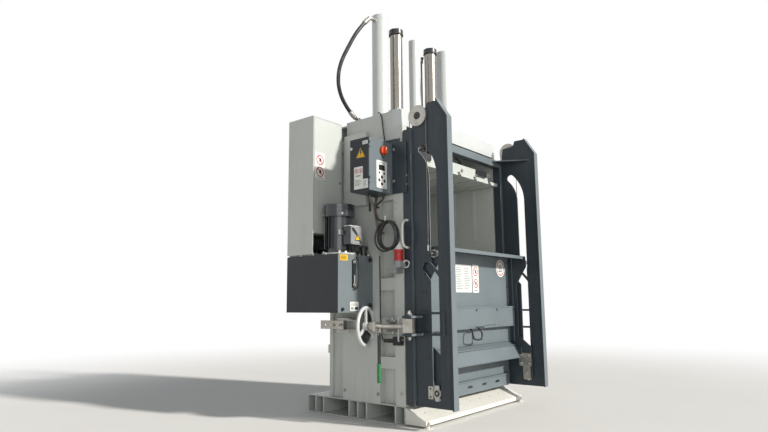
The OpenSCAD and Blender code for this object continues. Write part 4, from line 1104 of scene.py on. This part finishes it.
def dressLock():
    a = math.radians(lock["open"])
    along = Vector((-math.sin(a), math.cos(a), 0))
    px, py, pz = lock["pin"]
    bm = bmesh.new()
    profile = [(14, 0)]
    for k in range(lock["threads"]):
        profile += [(15.2, k * 4), (15.9, k * 4 + 1.4), (15.2, k * 4 + 2.8)]
    profile.append((14, 114))
    lathe(bm, mm(*onSpindle(0, 120, 0)), frameOn(along), [(r, h) for r, h in profile if h < 92], 20)
    lathe(bm, mm(*onSpindle(0, 330, 0)), frameOn(along), [(15, -1), (15, 2), (12, 6)], 24)
    lathe(bm, mm(*onSpindle(0, 34, 0)), frameOn(along), [(24, -0.5), (24, 6), (19, 14), (15.5, 16)], 24)
    finishMesh("spindleThread", bm, ["zinc"], "spindle", 0, True)
    bm = bmesh.new()
    lathe(bm, mm(*onSpindle(0, 290, 0)), frameOn(along), [(26.3, 2), (27.4, 6), (27.4, 12), (26.3, 16)], 32)
    lathe(bm, mm(*onSpindle(0, 322, 0)), frameOn(along), [(25, -1), (24, 1), (20, 3), (17, 3)], 32)
    finishMesh("wheelHubRings", bm, ["white"], "wheel", 0, True)
    x, y = lock["lever"]
    low, high = lock["grip"]
    tube("leverGrip", [onSpindle(x, y, z) for z in (low, low + 6, high)], 13.6, "green", "lever", 5)
    tube("leverRod", [onSpindle(x, y, high - 2), onSpindle(x, y, -60)], 8, "black", "lever", 4)
    bm = bmesh.new()
    for k in range(7):
        lathe(bm, mm(*onSpindle(x, y, low + 12 + k * 15)), frameOn((0, 0, 1)),
              [(13.5, 0), (14.6, 2), (14.6, 6), (13.5, 8)], 24)
    finishMesh("gripRibs", bm, ["green"], "lever", 0, True)
    tube("forkBail", catmull([(-670, -500, 543), (-670, -500, 560), (-670, -500, 672), (-670, -500, 689)], 3), 5.2,
         "light", "bale_door", 4)
    tube("actuatorRod", catmull([(-726, -530, 690), (-726, -500, 690), (-726, -476, 690), (-726, -463, 683),
                                 (-726, -459, 666), (-726, -459, 600), (-726, -459, 534)], 6), 5.5, "white",
         "bale_door", 4)
    for k, z in enumerate((674, 586)):
        panel("rearFlange%d" % k, (-712, 28, z), "-X", [(roundRect(112, 10, 3), -10, 22, "white")], "frame", 0.8)
    bm = bmesh.new()
    rim, wire = lock["rim"], lock["wire"]
    lathe(bm, mm(*onSpindle(0, lock["wheel"], 0)), frameOn(along), [(rim + wire * math.cos(t), wire * math.sin(t))
          for t in (math.pi / 2 + 2 * math.pi * i / 16 for i in range(17))], 96)
    finishMesh("wheelRim", bm, ["white"], "wheel", 0, True)
    boltSet("forkPinHead", [((px, py, pz + 78), "+Z", 24), ((px, py, pz - 64), "-Z", 22)], "bale_door")
    boltSet("earBolts", [((-672, -365, 670), "+Z", 15), ((-672, -365, 590), "-Z", 15)], "frame")
    boltSet("rearBracketBolts", [((-712, 59, 630), "-X", 13), ((-676, -60, 668), "+Z", 13),
                                 ((-676, 30, 668), "+Z", 13)], "frame")
    bm = bmesh.new()
    prism(bm, mm(-670, -446, 532), faces["-Y"], roundRect(24, 44, 4), 0, 3, 0, 1)
    lathe(bm, mm(-670, -449, 540), faces["-Y"], [(7, 0), (7, 3), (4, 5)], 20, 1)
    finishMesh("safetySwitchFace", bm, ["plastic", "zinc"], "frame")
    tube("safetySwitchCable", catmull([(-672, -302, 532), (-668, -280, 540), (-662, -262, 600), (-660, -256, 700),
                                       (-660, -254, 900), (-660, -252, 1100)], 6), 4, "cable", "frame", 2)


# sides of the body, and the cable's socket on the left one
sides = {"plane": 655, "socket": (-700, -450, 1052), "lid": (-672, -486, 1034), "tilt": (-0.35, -0.85, -0.3),
        "guides": (-265, -68), "guideEnds": (1290, 1732)}


def dressBody():
    boltSet("sillFeetBolts", [((x, -606, 20), "+Z", 24) for x in (-627, 627)], "frame")
    for side, tag in ((-1, "Left"), (1, "Right")):
        outer = "-X" if side < 0 else "+X"
        boltSet("frameBolts" + tag, [((side * sides["plane"], y, z), outer, 15) for y, z in
                ((-425, 200), (-425, 1900), (80, 180), (80, 1440), (-225, 180), (-225, 1440))], "frame")
    low, high = sides["guideEnds"]
    for k, y in enumerate(sides["guides"]):
        panel("wallGuide%d" % k, (600, y, (low + high) / 2), "-X", [(roundRect(30, high - low, 3), 0, 9, "white")],
              "frame", 0.8)
    bm = bmesh.new()
    tilt = frameOn(sides["tilt"])
    lathe(bm, mm(*sides["lid"]), tilt, [(27, -6), (27, 8), (24, 10), (21, 10), (19, 4)], 32)
    lathe(bm, mm(*sides["lid"]), tilt, [(19, 4.2), (17, 4.6)], 32, 1)
    finishMesh("socketFlap", bm, ["pale", "black"], "frame", 0, True)
    x, y, z = sides["socket"]
    panel("plugSocketLid", (x, y - 33, z - 22), "-Y", [(roundRect(50, 32, 10), 0, 5, "grey")], "frame", 0.8)
    bm = bmesh.new()
    lathe(bm, mm(x, y, z), faces["+Z"], [(33, -44), (34, -40), (34, -6), (33, -2)], 32)
    prism(bm, mm(-690, -415, 1001), faces["-X"], roundRect(62, 52, 6), 38, 41, 0, 1)
    finishMesh("socketShell", bm, ["grey"], "frame", 0, True)
    boltSet("socketScrews", [((-731, -415 + a, 1001 + b), "-X", 7) for a in (-24, 24) for b in (-20, 20)], "frame")
    for k, x in enumerate((-300, 300)):
        panel("rearLiftingEye%d" % k, (x, 268, 2040), "+Y", [(roundRect(70, 60, 12), 0, 12, "light")], "frame", 1.0)


weldSeams()
dressHead()
dressPlaten()
dressDoor()
dressFlap()
dressLock()
dressBody()
print("details drawn")
